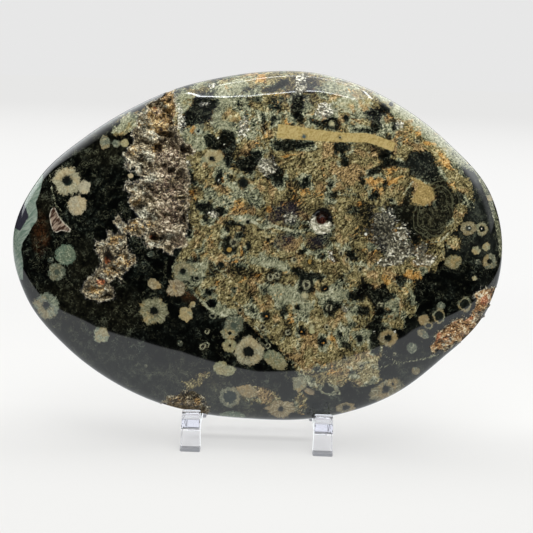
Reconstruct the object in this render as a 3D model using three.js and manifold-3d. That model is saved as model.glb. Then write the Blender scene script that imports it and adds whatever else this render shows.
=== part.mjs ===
// A polished ocean jasper freeform leaning on a small clear acrylic easel.
// Millimetres, +Z up, the polished front faces -Y, the origin is the centre of the footprint.
import * as THREE from "three";
import { mergeVertices } from "three/addons/utils/BufferGeometryUtils.js";
import Module from "manifold-3d";

const wasm = await Module();
wasm.setup();

// Clearance kept between pieces that touch.
const GAP = 0.3;

// The stone is a lens. Its outline is given by its radius every 15 degrees,
// anticlockwise from the right-hand tip, as seen from the front.
const OUTLINE_RADII = [
  100, 97.6, 89.1, 82.8, 78.4, 74.9, 71.9, 71.1, 73.1, 77, 83.9, 93.8,
  100, 96.5, 88.2, 81.1, 75.8, 72, 70.7, 72.9, 77.1, 82.4, 87.9, 96,
];
const FRONT_BULGE = 15.5;
const BACK_BULGE = 14.5;
const FACE_FLATNESS = 2.4;
const RIM_ROUNDNESS = 2.1;
const LEAN = THREE.MathUtils.degToRad(13);
const STONE_CENTRE = new THREE.Vector3(0, -4, 80.3);
const STONE_SIDES = 96;
const FRONT_RINGS = 12;
const BACK_RINGS = 8;

// The hollows, each by its outline on the front face: across and up from the stone's centre.
// An outline that leaves the face opens its hollow at the rim.
const HOLLOWS = {
  druse_main: {
    outline: [
      [-39.4, 66], [-45.6, 56.3], [-50.1, 50.8], [-52.4, 42.4], [-54, 36.5], [-53.9, 21.1],
      [-52.4, 13.8], [-48.6, 10.6], [-44.8, 6.3], [-37.7, 0], [-29.9, -4.5], [-28.7, 3.5],
      [-29.4, 10.8], [-27.7, 18.5], [-29.9, 31.5], [-28, 35.7], [-34, 42.3], [-35.6, 49.1],
      [-35.5, 66],
    ],
    depth: 7.5,
    crystal: 1.9,
    finish: "druse",
  },
  druse_arm: {
    outline: [
      [-57.6, 5.9], [-54.5, 7.2], [-47.2, 6.2], [-46.6, 2.2], [-52.5, -1.2], [-51.9, -4.4],
      [-48.2, -7.5], [-50, -11.9], [-54, -14], [-54.3, -16.8], [-57.2, -25.2], [-62, -26.1],
      [-69.9, -21.6], [-69.5, -18.8], [-63.3, -11.8], [-64.8, -4.3], [-58.2, 0.3],
    ],
    depth: 5,
    crystal: 1.9,
    finish: "druse",
  },
  druse_rim: {
    outline: [
      [101, -13], [88.1, -16.4], [90.2, -23.6], [86.6, -27.8], [82.3, -27.4], [77, -31.1],
      [73.1, -34.4], [70.4, -39.1], [72.3, -41.8], [82, -43], [93, -30],
    ],
    depth: 5,
    crystal: 1.9,
    finish: "rust",
  },
  druse_base: {
    outline: [
      [-36.6, -69], [-36.6, -64], [-32.9, -62.8], [-27.7, -60.3], [-24.9, -60], [-22.1, -61.2],
      [-19.6, -63.8], [-20.4, -72],
    ],
    depth: 5,
    crystal: 1.7,
    finish: "druse",
  },
};
const DRUSE_RECESS = 0.8;
const DRUSE_SINK = 2.8;
const DRUSE_SLOPE = 6;
const DRUSE_ROUGHNESS = 1.6;
const DRUSE_THINNEST = 0.5;
const DRUSE_SEED = 11;

// A small round crystal pocket near the middle of the face.
const POCKET = { across: 25.5, up: 10, radius: 3, depth: 3.5 };
const POCKET_SIDES = 10;

// The easel: two clear side frames, each a bench with a lip and a leaning post, and two bars.
const FRAME_X = { left: -24, right: 28.8 };
const FRAME_WIDTH = 8;
const FRAME_DRAFT = 0.9;
const FRONT_Y = -31;
const REAR_Y = 31;
const FRONT_LEG_DEPTH = 6.6;
const REAR_LEG_DEPTH = 5;
const LIP_TOP = 15.8;
const ARM_TOP = 11.9;
const ARM_BOTTOM = 8.3;
const POST_FOOT_Y = -10.1;
const POST_SLOPE = 0.268;
const POST_DEPTH = 5.2;
const POST_TOP = 88;
const CORNER = 1;
const FILLET = 2.5;
const BASE_BAR = { y: 12, z: 10.1, depth: 7, height: 3.6 };
const BACK_BAR = { y: 11.8, z: 72, depth: 3.4, height: 8 };

const FINISHES = {
  jasper: { color: 0x3f4438, roughness: 0.12, metalness: 0 },
  druse: { color: 0x8a6f52, roughness: 0.75, metalness: 0 },
  rust: { color: 0x9c6234, roughness: 0.75, metalness: 0 },
  acrylic: { color: 0xe6e8f2, roughness: 0.04, metalness: 0, transparent: true, opacity: 0.3 },
};

// The radius of the outline at an angle, on a closed curve that is smooth through every value.
function outlineRadius(angle) {
  const count = OUTLINE_RADII.length;
  const turn = ((angle / (2 * Math.PI)) * count + count) % count;
  const step = Math.floor(turn);
  const t = turn - step;
  const [a, b, c, d] = [-1, 0, 1, 2].map((k) => OUTLINE_RADII[(step + k + count) % count]);
  const square = 2 * a - 5 * b + 4 * c - d;
  const cube = 3 * b - a - 3 * c + d;
  return b + ((c - a) * t + square * t * t + cube * t * t * t) / 2;
}

// Height over the stone's middle plane of its front face, or of a face `inset` under it.
function faceHeight(u, v, inset = 0) {
  const reach = Math.hypot(u, v) / (outlineRadius(Math.atan2(v, u)) - inset);
  const rise = 1 - Math.min(reach, 1) ** FACE_FLATNESS;
  return (FRONT_BULGE - inset) * rise ** (1 / RIM_ROUNDNESS);
}

function geometryFrom(positions, faces) {
  const geometry = new THREE.BufferGeometry();
  geometry.setAttribute("position", new THREE.Float32BufferAttribute(positions, 3));
  geometry.setIndex(faces);
  return geometry;
}

function solidOf(geometry) {
  const bare = geometry.clone();
  bare.deleteAttribute("normal");
  bare.deleteAttribute("uv");
  const merged = mergeVertices(bare, 1e-4);
  const vertProperties = new Float32Array(merged.attributes.position.array);
  const triVerts = new Uint32Array(merged.index.array);
  return new wasm.Manifold(new wasm.Mesh({ numProp: 3, vertProperties, triVerts }));
}

function geometryOf(solid) {
  const mesh = solid.getMesh();
  return geometryFrom(Array.from(mesh.vertProperties), Array.from(mesh.triVerts));
}

// The whole lens, or one `inset` inside it, in rings from the front pole over the rim.
function lensGeometry(inset = 0) {
  const front = FRONT_BULGE - inset;
  const back = BACK_BULGE - inset;
  const rings = FRONT_RINGS + BACK_RINGS - 1;
  const positions = [0, 0, front];
  for (let ring = 1; ring <= rings; ring++) {
    const fromBack = FRONT_RINGS + BACK_RINGS - ring;
    const share = ring <= FRONT_RINGS ? ring / FRONT_RINGS : fromBack / BACK_RINGS;
    const swing = (share * Math.PI) / 2;
    const reach = Math.sin(swing) ** (2 / FACE_FLATNESS);
    const rise = Math.max(0, Math.cos(swing)) ** (2 / RIM_ROUNDNESS);
    const height = ring <= FRONT_RINGS ? front * rise : -back * rise;
    for (let side = 0; side < STONE_SIDES; side++) {
      const angle = (side / STONE_SIDES) * 2 * Math.PI;
      const radius = (outlineRadius(angle) - inset) * reach;
      positions.push(radius * Math.cos(angle), radius * Math.sin(angle), height);
    }
  }
  positions.push(0, 0, -back);
  const last = positions.length / 3 - 1;
  const faces = [];
  for (let side = 0; side < STONE_SIDES; side++) {
    const next = (side + 1) % STONE_SIDES;
    faces.push(0, 1 + side, 1 + next);
    for (let ring = 0; ring < rings - 1; ring++) {
      const near = 1 + ring * STONE_SIDES;
      const far = near + STONE_SIDES;
      faces.push(near + side, far + side, far + next, near + side, far + next, near + next);
    }
    faces.push(last, last - STONE_SIDES + next, last - STONE_SIDES + side);
  }
  return geometryFrom(positions, faces);
}

// A closed block over a square grid, between two heights given as functions of place.
function blockGeometry(box, spacing, low, high) {
  const columns = Math.ceil((box.max.x - box.min.x) / spacing);
  const rows = Math.ceil((box.max.y - box.min.y) / spacing);
  const positions = [];
  for (const height of [low, high]) {
    for (let row = 0; row <= rows; row++) {
      for (let column = 0; column <= columns; column++) {
        const u = box.min.x + column * spacing;
        const v = box.min.y + row * spacing;
        positions.push(u, v, height(u, v));
      }
    }
  }
  const layer = (columns + 1) * (rows + 1);
  const at = (row, column) => row * (columns + 1) + column;
  const faces = [];
  for (let row = 0; row < rows; row++) {
    for (let column = 0; column < columns; column++) {
      const corners = [at(row, column), at(row, column + 1)];
      corners.push(at(row + 1, column + 1), at(row + 1, column));
      if ((row + column) % 2) corners.push(corners.shift());
      const [a, b, c, d] = corners;
      faces.push(a, c, b, a, d, c);
      faces.push(layer + a, layer + b, layer + c, layer + a, layer + c, layer + d);
    }
  }
  const wall = (a, b) => faces.push(a, b, layer + b, a, layer + b, layer + a);
  for (let column = 0; column < columns; column++) {
    wall(at(0, column), at(0, column + 1));
    wall(at(rows, column + 1), at(rows, column));
  }
  for (let row = 0; row < rows; row++) {
    wall(at(row + 1, 0), at(row, 0));
    wall(at(row, columns), at(row + 1, columns));
  }
  return geometryFrom(positions, faces);
}

// An outline moved inwards by a distance, each corner along its bisector.
function insetOutline(outline, distance) {
  const points = outline.map(([u, v]) => new THREE.Vector2(u, v));
  const turn = THREE.ShapeUtils.isClockWise(points) ? -1 : 1;
  return points.map((point, i) => {
    const before = point.clone().sub(points.at(i - 1)).normalize();
    const after = points[(i + 1) % points.length].clone().sub(point).normalize();
    const inward = new THREE.Vector2(-before.y - after.y, before.x + after.x);
    const stretch = (2 * distance * turn) / inward.lengthSq();
    return point.clone().addScaledVector(inward, stretch);
  });
}

function prismGeometry(points, low, high) {
  const shape = new THREE.Shape(points);
  const geometry = new THREE.ExtrudeGeometry(shape, { depth: high - low, bevelEnabled: false });
  return geometry.translate(0, 0, low);
}

function distanceToOutline(u, v, points) {
  const place = new THREE.Vector3(u, v, 0);
  const nearest = new THREE.Vector3();
  const corners = points.map((point) => new THREE.Vector3(point.x, point.y, 0));
  const distances = corners.map((corner, i) => {
    const edge = new THREE.Line3(corner, corners[(i + 1) % corners.length]);
    return edge.closestPointToPoint(place, true, nearest).distanceTo(place);
  });
  return Math.min(...distances);
}

function seededRandom(seed) {
  let state = seed;
  return () => {
    state = (state * 48271) % 2147483647;
    return state / 2147483647;
  };
}

function gridBox({ outline, crystal }) {
  const points = outline.map(([u, v]) => new THREE.Vector2(u, v));
  return new THREE.Box2().setFromPoints(points).expandByScalar(crystal);
}

// What a hollow takes away: its outline, down to a floor that follows the stone's face.
function pitSolid(hollow) {
  const high = 2 * FRONT_BULGE;
  const floor = (u, v) => faceHeight(u, v, hollow.depth);
  const block = blockGeometry(gridBox(hollow), hollow.crystal, floor, () => high);
  const prism = prismGeometry(insetOutline(hollow.outline, 0), -GAP, high + GAP);
  return solidOf(block).intersect(solidOf(prism));
}

// The crust of blunt crystals that lines a hollow, lowest in the middle.
function druseSolid(hollow, random) {
  const points = insetOutline(hollow.outline, GAP);
  const bed = (u, v) => faceHeight(u, v, hollow.depth) + GAP;
  const top = (u, v) => {
    const inward = Math.min(distanceToOutline(u, v, points) / DRUSE_SLOPE, 1);
    const sink = DRUSE_RECESS + DRUSE_SINK * inward + DRUSE_ROUGHNESS * random();
    return Math.max(faceHeight(u, v) - sink, bed(u, v) + DRUSE_THINNEST);
  };
  const block = blockGeometry(gridBox(hollow), hollow.crystal, bed, top);
  const prism = prismGeometry(points, 0, 2 * FRONT_BULGE);
  const inside = solidOf(lensGeometry(DRUSE_RECESS));
  return solidOf(block).intersect(solidOf(prism)).intersect(inside);
}

function pocketSolid() {
  const height = faceHeight(POCKET.across, POCKET.up);
  const ball = new THREE.SphereGeometry(1, POCKET_SIDES, POCKET_SIDES / 2);
  ball.scale(POCKET.radius, POCKET.radius, POCKET.depth);
  return solidOf(ball.translate(POCKET.across, POCKET.up, height));
}

function meshOf(name, geometry, finish) {
  const mesh = new THREE.Mesh(geometry, new THREE.MeshStandardMaterial(FINISHES[finish]));
  mesh.name = name;
  return mesh;
}

// The stone and its crusts, in the stone's own frame: across, up the face, out of the face.
function stoneGroup() {
  const group = new THREE.Group();
  const random = seededRandom(DRUSE_SEED);
  let stone = solidOf(lensGeometry()).subtract(pocketSolid());
  for (const [name, hollow] of Object.entries(HOLLOWS)) {
    stone = stone.subtract(pitSolid(hollow));
    group.add(meshOf(name, geometryOf(druseSolid(hollow, random)), hollow.finish));
  }
  group.add(meshOf("stone", geometryOf(stone), "jasper"));
  group.rotation.x = Math.PI / 2 - LEAN;
  group.position.copy(STONE_CENTRE);
  return group;
}

// A closed shape through corners given as [across, up, rounding].
function roundedShape(corners) {
  const shape = new THREE.Shape();
  corners.forEach(([x, y, rounding], i) => {
    const corner = new THREE.Vector2(x, y);
    const before = new THREE.Vector2(...corners.at(i - 1)).sub(corner).setLength(rounding);
    const after = new THREE.Vector2(...corners[(i + 1) % corners.length]).sub(corner);
    after.setLength(rounding).add(corner);
    before.add(corner);
    if (i === 0) shape.moveTo(before.x, before.y);
    else shape.lineTo(before.x, before.y);
    if (rounding) shape.quadraticCurveTo(corner.x, corner.y, after.x, after.y);
  });
  shape.closePath();
  return shape;
}

const postFront = (z) => POST_FOOT_Y + POST_SLOPE * z;
const postBack = (z) => postFront(z) + POST_DEPTH;

// A side frame's profile, back to front along Y and up along Z, extruded across and drafted.
function frameGeometry() {
  const shape = roundedShape([
    [FRONT_Y, 0, 0],
    [FRONT_Y + FRONT_LEG_DEPTH, 0, 0],
    [FRONT_Y + FRONT_LEG_DEPTH, ARM_BOTTOM, CORNER],
    [REAR_Y - REAR_LEG_DEPTH, ARM_BOTTOM, FILLET],
    [REAR_Y - REAR_LEG_DEPTH, 0, 0],
    [REAR_Y, 0, 0],
    [REAR_Y, ARM_TOP, FILLET],
    [postBack(ARM_TOP), ARM_TOP, FILLET],
    [postBack(POST_TOP), POST_TOP, CORNER],
    [postFront(POST_TOP), POST_TOP, CORNER],
    [postFront(ARM_TOP), ARM_TOP, FILLET],
    [FRONT_Y + FRONT_LEG_DEPTH, ARM_TOP, CORNER],
    [FRONT_Y + FRONT_LEG_DEPTH, LIP_TOP, CORNER],
    [FRONT_Y, LIP_TOP, CORNER],
  ]);
  const settings = { depth: FRAME_WIDTH, bevelEnabled: false, curveSegments: 3 };
  const geometry = new THREE.ExtrudeGeometry(shape, settings).translate(0, 0, -FRAME_WIDTH / 2);
  const profileToSide = new THREE.Matrix4().makeBasis(
    new THREE.Vector3(0, 1, 0),
    new THREE.Vector3(0, 0, 1),
    new THREE.Vector3(1, 0, 0),
  );
  geometry.applyMatrix4(profileToSide);
  const places = geometry.attributes.position;
  for (let i = 0; i < places.count; i++) {
    const rise = Math.min(places.getZ(i) / LIP_TOP, 1);
    places.setX(i, places.getX(i) * (1 - (FRAME_DRAFT / FRAME_WIDTH) * rise));
  }
  return geometry;
}

// A bar between the side frames, a gap short of each.
function barMesh(name, { y, z, depth, height }) {
  const reach = (FRAME_WIDTH - FRAME_DRAFT) / 2 + 2 * GAP;
  const length = FRAME_X.right - FRAME_X.left - 2 * reach;
  const mesh = meshOf(name, new THREE.BoxGeometry(length, depth, height), "acrylic");
  mesh.position.set((FRAME_X.left + FRAME_X.right) / 2, y, z);
  return mesh;
}

function easelGroup() {
  const group = new THREE.Group();
  for (const [side, x] of Object.entries(FRAME_X)) {
    const mesh = meshOf("stand_side_" + side, frameGeometry(), "acrylic");
    mesh.position.x = x;
    group.add(mesh);
  }
  group.add(barMesh("stand_base_bar", BASE_BAR), barMesh("stand_back_bar", BACK_BAR));
  return group;
}

const jasperOnEasel = new THREE.Group();
jasperOnEasel.add(stoneGroup(), easelGroup());

export default jasperOnEasel;
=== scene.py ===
import math

import bpy
import numpy as np
from mathutils import Matrix, Vector
from mathutils.geometry import tessellate_polygon


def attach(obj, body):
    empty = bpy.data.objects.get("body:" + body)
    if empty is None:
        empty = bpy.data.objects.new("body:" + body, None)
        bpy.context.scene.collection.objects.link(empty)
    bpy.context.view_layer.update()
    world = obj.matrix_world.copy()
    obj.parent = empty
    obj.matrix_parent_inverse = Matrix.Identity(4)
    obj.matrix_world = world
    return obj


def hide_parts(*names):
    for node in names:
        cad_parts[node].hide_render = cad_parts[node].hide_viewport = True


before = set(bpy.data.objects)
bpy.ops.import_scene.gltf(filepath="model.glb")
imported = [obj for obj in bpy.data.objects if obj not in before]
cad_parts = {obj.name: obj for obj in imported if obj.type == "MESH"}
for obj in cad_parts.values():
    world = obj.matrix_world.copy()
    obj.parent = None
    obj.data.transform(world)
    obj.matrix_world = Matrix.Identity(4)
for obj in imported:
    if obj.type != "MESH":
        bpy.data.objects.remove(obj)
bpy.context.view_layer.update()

# A polished ocean jasper freeform that leans on a small clear acrylic easel.
# Lengths here are millimetres, as in the part's source, and turn into metres when a mesh is made.
MM = 0.001

# ---------------------------------------------------------------- the stone's shape, as in the part

OUTLINE_STEP = 15                       # degrees between the outline's radii
# Anticlockwise from the right-hand tip, seen from the front. The last is 0.8 wider than the part's,
# because the photo's outline is a little wider there.
OUTLINE_RADII = [
    100, 97.6, 89.1, 82.8, 78.4, 74.9, 71.9, 71.1, 73.1, 77, 83.9, 93.8,
    100, 96.5, 88.2, 81.1, 75.8, 72, 70.7, 72.9, 77.1, 82.4, 87.9, 96.8]
FRONT_BULGE = 15.5
BACK_BULGE = 14.5
FACE_FLATNESS = 2.4
RIM_ROUNDNESS = 2.1
LEAN = math.radians(13)
STONE_CENTRE = np.array([0, -4, 80.3])
ACROSS = np.array([1, 0, 0])
UP_FACE = np.array([0, math.sin(LEAN), math.cos(LEAN)])
OUT_OF_FACE = np.array([0, -math.cos(LEAN), math.sin(LEAN)])

# Hollows that open on the face: the bed's depth, the crust's slot, and the lowest and highest
# place of the mouth in the face's own axes. Then the crust's seed, how far it sinks below the face
# as a share of the depth, and its tone, which is below 0 for a darker one.
HOLLOWS = {
    "druse_main": dict(depth=7.0, slot="druse", low=(-54, -4.5), high=(-27.7, 68),
                       seed=40, sink=0.42, tone=-0.2),
    "druse_arm": dict(depth=4.6, slot="druse", low=(-69.9, -26.1), high=(-46.6, 7.2),
                      seed=50, sink=0.42, tone=-0.34),
    "druse_rim": dict(depth=4.6, slot="rusty_druse", low=(70.4, -43), high=(101, -13),
                      seed=60, sink=0.04, tone=0),
    "druse_base": dict(depth=4.6, slot="druse", low=(-36.6, -72), high=(-19.6, -60),
                       seed=70, sink=0.42, tone=-0.42),
}
POCKET = dict(across=25.5, up=10, radius=3, depth=3.5)
GEODE_HEIGHT = 93.2                     # of the pocket's middle over the floor


# ---------------------------------------------------------------- noise and shapes in numbers

def smooth(value, low, high):
    """0 below low, 1 above high, and a smooth rise between."""
    t = np.clip((value - low) / (high - low), 0, 1)
    return t * t * (3 - 2 * t)


SCATTER = (73856093, 19349663, 83492791, 297121507)     # large numbers that scatter i, j, k and seed
STIR = ((15, 739982445), (12, 695872825))               # shift and large number of each stirring
WORD = 0xFFFFFFFF                                       # numbers are kept within 32 bits
FRACTION = 0xFFFFFF


def lattice(i, j, k, seed):
    """A repeatable number from 0 to 1 for each whole-number place."""
    n = 0
    for value, large in zip((i, j, k, seed), SCATTER):
        n = n ^ (value * large)
    n = n & WORD
    for shift, large in STIR:
        n = ((n ^ (n >> shift)) * large) & WORD
    return ((n ^ (n >> STIR[0][0])) & FRACTION) / FRACTION


def noise(x, y, size, seed, z=0.0):
    """Smooth noise from 0 to 1 with lumps of about that size."""
    x, y, z = (np.asarray(c, float) / size for c in (x, y, z))
    x, y, z = np.broadcast_arrays(x, y, z)
    i, j, k = (np.floor(c).astype(np.int64) for c in (x, y, z))
    fx, fy, fz = (c - c0 for c, c0 in ((x, i), (y, j), (z, k)))
    fx, fy, fz = (f * f * f * (f * (f * 6 - 15) + 10) for f in (fx, fy, fz))
    total = 0.0
    for di in (0, 1):
        for dj in (0, 1):
            for dk in (0, 1):
                weight = (fx if di else 1 - fx) * (fy if dj else 1 - fy) * (fz if dk else 1 - fz)
                total = total + weight * lattice(i + di, j + dj, k + dk, seed)
    return total


LAYER_SEEDS = 31        # the layers' seeds lie this far apart


def layers(x, y, size, seed, count=3, gain=0.5, z=0.0):
    """Noise of several sizes, each half the last, centred on 0 and within about -0.5 to 0.5."""
    total, strength, whole = 0.0, 1.0, 0.0
    for n in range(count):
        total = total + strength * (noise(x, y, size / 2 ** n, seed + LAYER_SEEDS * n, z) - 0.5)
        whole += strength
        strength *= gain
    return total / whole


def segment_distance(x, y, start, end):
    """Distance to a straight piece, and how far along it the nearest place is, from 0 to 1."""
    (x0, y0), (x1, y1) = start, end
    ex, ey = x1 - x0, y1 - y0
    t = np.clip(((x - x0) * ex + (y - y0) * ey) / (ex * ex + ey * ey), 0, 1)
    return np.hypot(x - x0 - t * ex, y - y0 - t * ey), t


def outline_distance(x, y, outline):
    """Distance to a closed outline, positive inside."""
    best = np.full(np.shape(x), np.inf)
    inside = np.zeros(np.shape(x), bool)
    for (x0, y0), (x1, y1) in zip(outline, outline[1:] + outline[:1]):
        far, _ = segment_distance(x, y, (x0, y0), (x1, y1))
        best = np.minimum(best, far)
        if y0 != y1:
            crosses = ((y0 > y) != (y1 > y)) & (x < (x1 - x0) * (y - y0) / (y1 - y0) + x0)
            inside ^= crosses
    return np.where(inside, best, -best)


def line_distance(x, y, points):
    """Distance to an open line, and how far along it from 0 to 1."""
    best = np.full(np.shape(x), np.inf)
    along = np.zeros(np.shape(x))
    steps = len(points) - 1
    for n in range(steps):
        far, t = segment_distance(x, y, points[n], points[n + 1])
        along = np.where(far < best, (n + t) / steps, along)
        best = np.minimum(best, far)
    return best, along


def outline_radius(angle):
    """Radius of the stone's outline at an angle in radians: a smooth closed curve through the radii."""
    count = len(OUTLINE_RADII)
    place = np.degrees(angle) / OUTLINE_STEP
    n = np.floor(place).astype(int)
    t = place - n
    r = np.array(OUTLINE_RADII, float)
    a, b, c, d = (r[(n + k) % count] for k in (-1, 0, 1, 2))
    return 0.5 * (2 * b + (c - a) * t + (2 * a - 5 * b + 4 * c - d) * t ** 2
                  + (3 * b - a - 3 * c + d) * t ** 3)


THIN_RIM_SHARE = 1.25   # a straight hollow is at most this many times as deep as the face is high


def face_point(u, v, depth, straight):
    """The place depth below the face point over (u, v): straight in, or square to the rim."""
    deep = np.where(straight, 0, depth)
    radius = outline_radius(np.arctan2(v, u))
    shrink = (radius - deep) / radius
    reach = np.clip(np.hypot(u, v) / radius, 0, 1)
    w = (FRONT_BULGE - deep) * np.clip(1 - reach ** FACE_FLATNESS, 0, 1) ** (1 / RIM_ROUNDNESS)
    return u * shrink, v * shrink, w - np.where(straight, np.minimum(depth, THIN_RIM_SHARE * w), 0)


FIT = 0.9975            # the smooth skin is drawn in by this, to stay inside the part's faceted one


def to_row(u, v, w):
    """From the stone's own axes to the part's axes, in millimetres."""
    return (STONE_CENTRE + FIT * (np.multiply.outer(u, ACROSS) + np.multiply.outer(v, UP_FACE)
                                  + np.multiply.outer(w, OUT_OF_FACE)))


# ---------------------------------------------------------------- the camera and what it sees

# The markings are measured as this camera sees them.
PICTURE_SIDE = 533                       # pixels of the square picture
CAMERA_PLACE = np.array([3.9, -599.3, 155.3])
CAMERA_TILT = math.radians(8)            # looks down by this
CAMERA_ROLL = math.radians(2.0)
SENSOR = 36.0
LENS = 99.33
LEVEL_UP = np.array([0, math.sin(CAMERA_TILT), math.cos(CAMERA_TILT)])
CAMERA_AIM = np.array([0, math.cos(CAMERA_TILT), -math.sin(CAMERA_TILT)])
CAMERA_RIGHT = math.cos(CAMERA_ROLL) * ACROSS + math.sin(CAMERA_ROLL) * LEVEL_UP
CAMERA_UP = -math.sin(CAMERA_ROLL) * ACROSS + math.cos(CAMERA_ROLL) * LEVEL_UP
PIXELS_PER_SLOPE = PICTURE_SIDE * LENS / SENSOR
PIXEL = 0.408                            # millimetres of the face to one pixel


def seen_at(points):
    """Where points of the part, in millimetres, are seen: pixels from the picture's top left."""
    away = points - CAMERA_PLACE
    far = away @ CAMERA_AIM
    middle = PICTURE_SIDE / 2
    return (middle + PIXELS_PER_SLOPE * (away @ CAMERA_RIGHT) / far,
            middle - PIXELS_PER_SLOPE * (away @ CAMERA_UP) / far)


def seen_on_face(u, v):
    """Where the face's points over (u, v) are seen, in pixels."""
    return seen_at(to_row(*face_point(u, v, 0.0, True)))


# The hollows' mouths as they are seen from that camera, in pixels.
MOUTHS = {
    "druse_main": [
        (168, 76), (167, 92.5), (162, 96), (158, 99), (152, 102), (146.5, 106), (148, 109.5),
        (146, 113.5), (140, 115), (137.5, 119), (138, 123.5), (136.5, 128), (132, 132.5),
        (134.5, 138), (131.5, 143), (127.5, 148), (126.5, 151.5), (123.5, 153), (127, 158.5),
        (131, 160.5), (130.5, 163), (125, 164.5), (129, 170), (133.5, 166), (137.5, 169.5),
        (140, 174), (144, 176), (146.5, 178), (141, 182), (134, 184.5), (125.3, 183), (125.8, 188),
        (129, 193), (136, 195.5), (129, 198), (129, 205), (133.5, 208), (136, 212), (139.5, 217),
        (143, 220), (144.5, 223), (146.5, 229), (147.5, 235), (145, 238), (147, 243), (149, 247),
        (155, 247), (162, 249), (166, 251.5), (170.5, 253), (172.5, 248), (180, 249), (187, 244),
        (185.5, 236), (186.5, 228), (185.5, 214), (187.5, 205), (188, 195), (190, 181),
        (187.5, 174), (187, 167), (185.5, 160), (186.5, 155), (191.8, 153.7), (193, 151),
        (190.4, 146.5), (186.5, 145), (182, 140), (179.5, 135.5), (178.5, 129), (174.5, 125.5),
        (173.8, 120), (175, 115), (175.7, 108), (174.3, 103), (174.3, 96.5), (175, 76)],
    "druse_arm": [
        (114, 221.5), (118.5, 217), (121, 222), (128, 224.5), (129.5, 219.5), (137, 218.5),
        (143.5, 223), (146, 229), (144, 233.5), (138, 236), (131, 234), (128, 231), (126.5, 236),
        (127.5, 243), (126, 249.5), (132, 254.5), (136.5, 257.5), (135.5, 262.5), (129.5, 266.5),
        (126, 270), (122.5, 273.5), (121.5, 279), (116.5, 276), (112, 279), (109, 283.5),
        (112, 290), (114, 298), (105, 300), (97, 301), (88, 298), (82, 292), (85, 283),
        (93.5, 274.5), (99.5, 267.5), (102.5, 262.5), (99, 255.5), (95.5, 249), (96, 241),
        (100, 242), (105, 240.5), (109, 241), (109.5, 236), (107, 231.3), (112, 233.5),
        (117, 235), (120.5, 232), (117, 226)],
    "druse_rim": [
        (505, 284), (496, 288), (488, 288), (479, 290.5), (475, 294.5), (477.3, 299),
        (476.8, 303.2), (476, 307.5), (472.7, 312), (471.5, 316), (464.6, 321), (462, 317.5),
        (457, 320), (452, 322.3), (448.3, 325.5), (443, 329.2), (438, 332.5), (435.8, 339),
        (430, 346.5), (433, 353), (438.6, 350.3), (445.6, 351), (450, 347.5), (458, 341.5),
        (464, 344), (486, 325), (484, 315.5), (481, 313), (484.6, 310.8), (489, 307.5), (493, 301),
        (505, 298)],
    "druse_base": [
        (160, 402), (168.8, 398.6), (174.6, 396.7), (179.7, 394), (186.7, 391.2), (193, 392),
        (200.7, 396), (203.3, 399), (201, 402.4), (204.5, 404), (208.5, 407), (209, 412),
        (204, 420), (180, 418), (162, 408)]}
MOUTH_RAGGED = 0.55     # millimetres that a mouth's edge wanders from its outline
STRAIGHT_HOLLOWS = ("druse_main", "druse_arm")


def mouth(name, u, v):
    """Distance in millimetres inside a hollow's ragged mouth, negative outside it."""
    inside = PIXEL * outline_distance(*seen_on_face(u, v), MOUTHS[name])
    return inside + MOUTH_RAGGED * (2 * layers(u, v, 2.6, 5, 2) + 1.2 * layers(u, v, 1.1, 6, 2))


# ---------------------------------------------------------------- meshes

def added(name, data):
    """A new object in the scene, of that mesh, light or camera."""
    made = bpy.data.objects.new(name, data)
    bpy.context.scene.collection.objects.link(made)
    return made


def make_mesh(name, points, faces, sharp_angle):
    """A smooth-shaded mesh object from points in millimetres.

    It is sharp where it bends by more than that angle, in degrees.
    """
    mesh = bpy.data.meshes.new(name)
    mesh.from_pydata((np.asarray(points) * MM).tolist(), [], faces)
    mesh.polygons.foreach_set("use_smooth", [True] * len(mesh.polygons))
    mesh.set_sharp_from_angle(angle=math.radians(sharp_angle))
    mesh.update()
    return added(name, mesh)


def store(target, name, red, green=0.0, blue=0.0, alpha=0.0):
    """Keeps four numbers for each vertex, for the material to read."""
    count = len(target.data.vertices)
    values = np.stack([np.broadcast_to(c, (count,)) for c in (red, green, blue, alpha)], 1)
    kept = target.data.attributes.new(name, "FLOAT_COLOR", "POINT")
    kept.data.foreach_set("color", values.astype(np.float32).ravel())


def dress(target, material, node):
    """Gives a piece its finish and its body, and hides the CAD node that it stands for."""
    target.data.materials.append(material)
    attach(target, "root")
    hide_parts(node)


# ---------------------------------------------------------------- the stone's skin

FRONT_CELLS = (336, 224)
BACK_CELLS = (168, 112)
BROKEN_SLOPE = 0.9      # how soon a hollow's broken edge ends behind the rim
MEAN_RADIUS = 85        # of the face, for sharing out the grid's rings evenly
PROFILE_STEPS = 4001
GRID_SQUASH = 0.75      # of the grid's spokes, about the outline's height to its width


def ring_profile():
    """Reach and rise against the share of the way from the face's centre to the rim."""
    swing = np.linspace(0, math.pi / 2, PROFILE_STEPS)
    reach = np.sin(swing) ** (2 / FACE_FLATNESS)
    rise = np.cos(swing) ** (2 / RIM_ROUNDNESS)
    step = np.hypot(np.diff(reach) * MEAN_RADIUS, np.diff(rise) * FRONT_BULGE)
    share = np.concatenate([[0], np.cumsum(step)])
    return share / share[-1], reach, rise


def disc_grid(cells):
    """A square grid bent into the outline: angle, reach and rise at each crossing."""
    x, y = np.meshgrid(np.linspace(-1, 1, cells[0] + 1), np.linspace(-1, 1, cells[1] + 1))
    ring = np.maximum(abs(x), abs(y))
    with np.errstate(divide="ignore", invalid="ignore"):
        side = np.where(abs(x) >= abs(y), math.pi / 4 * y / x + np.where(x < 0, math.pi, 0),
                        math.pi / 2 - math.pi / 4 * x / y + np.where(y < 0, math.pi, 0))
    side = np.where(ring == 0, 0, side)
    angle = np.arctan2(GRID_SQUASH * np.sin(side), np.cos(side))
    share, reach, rise = ring_profile()
    return angle, np.interp(ring, share, reach), np.interp(ring, share, rise)


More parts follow.
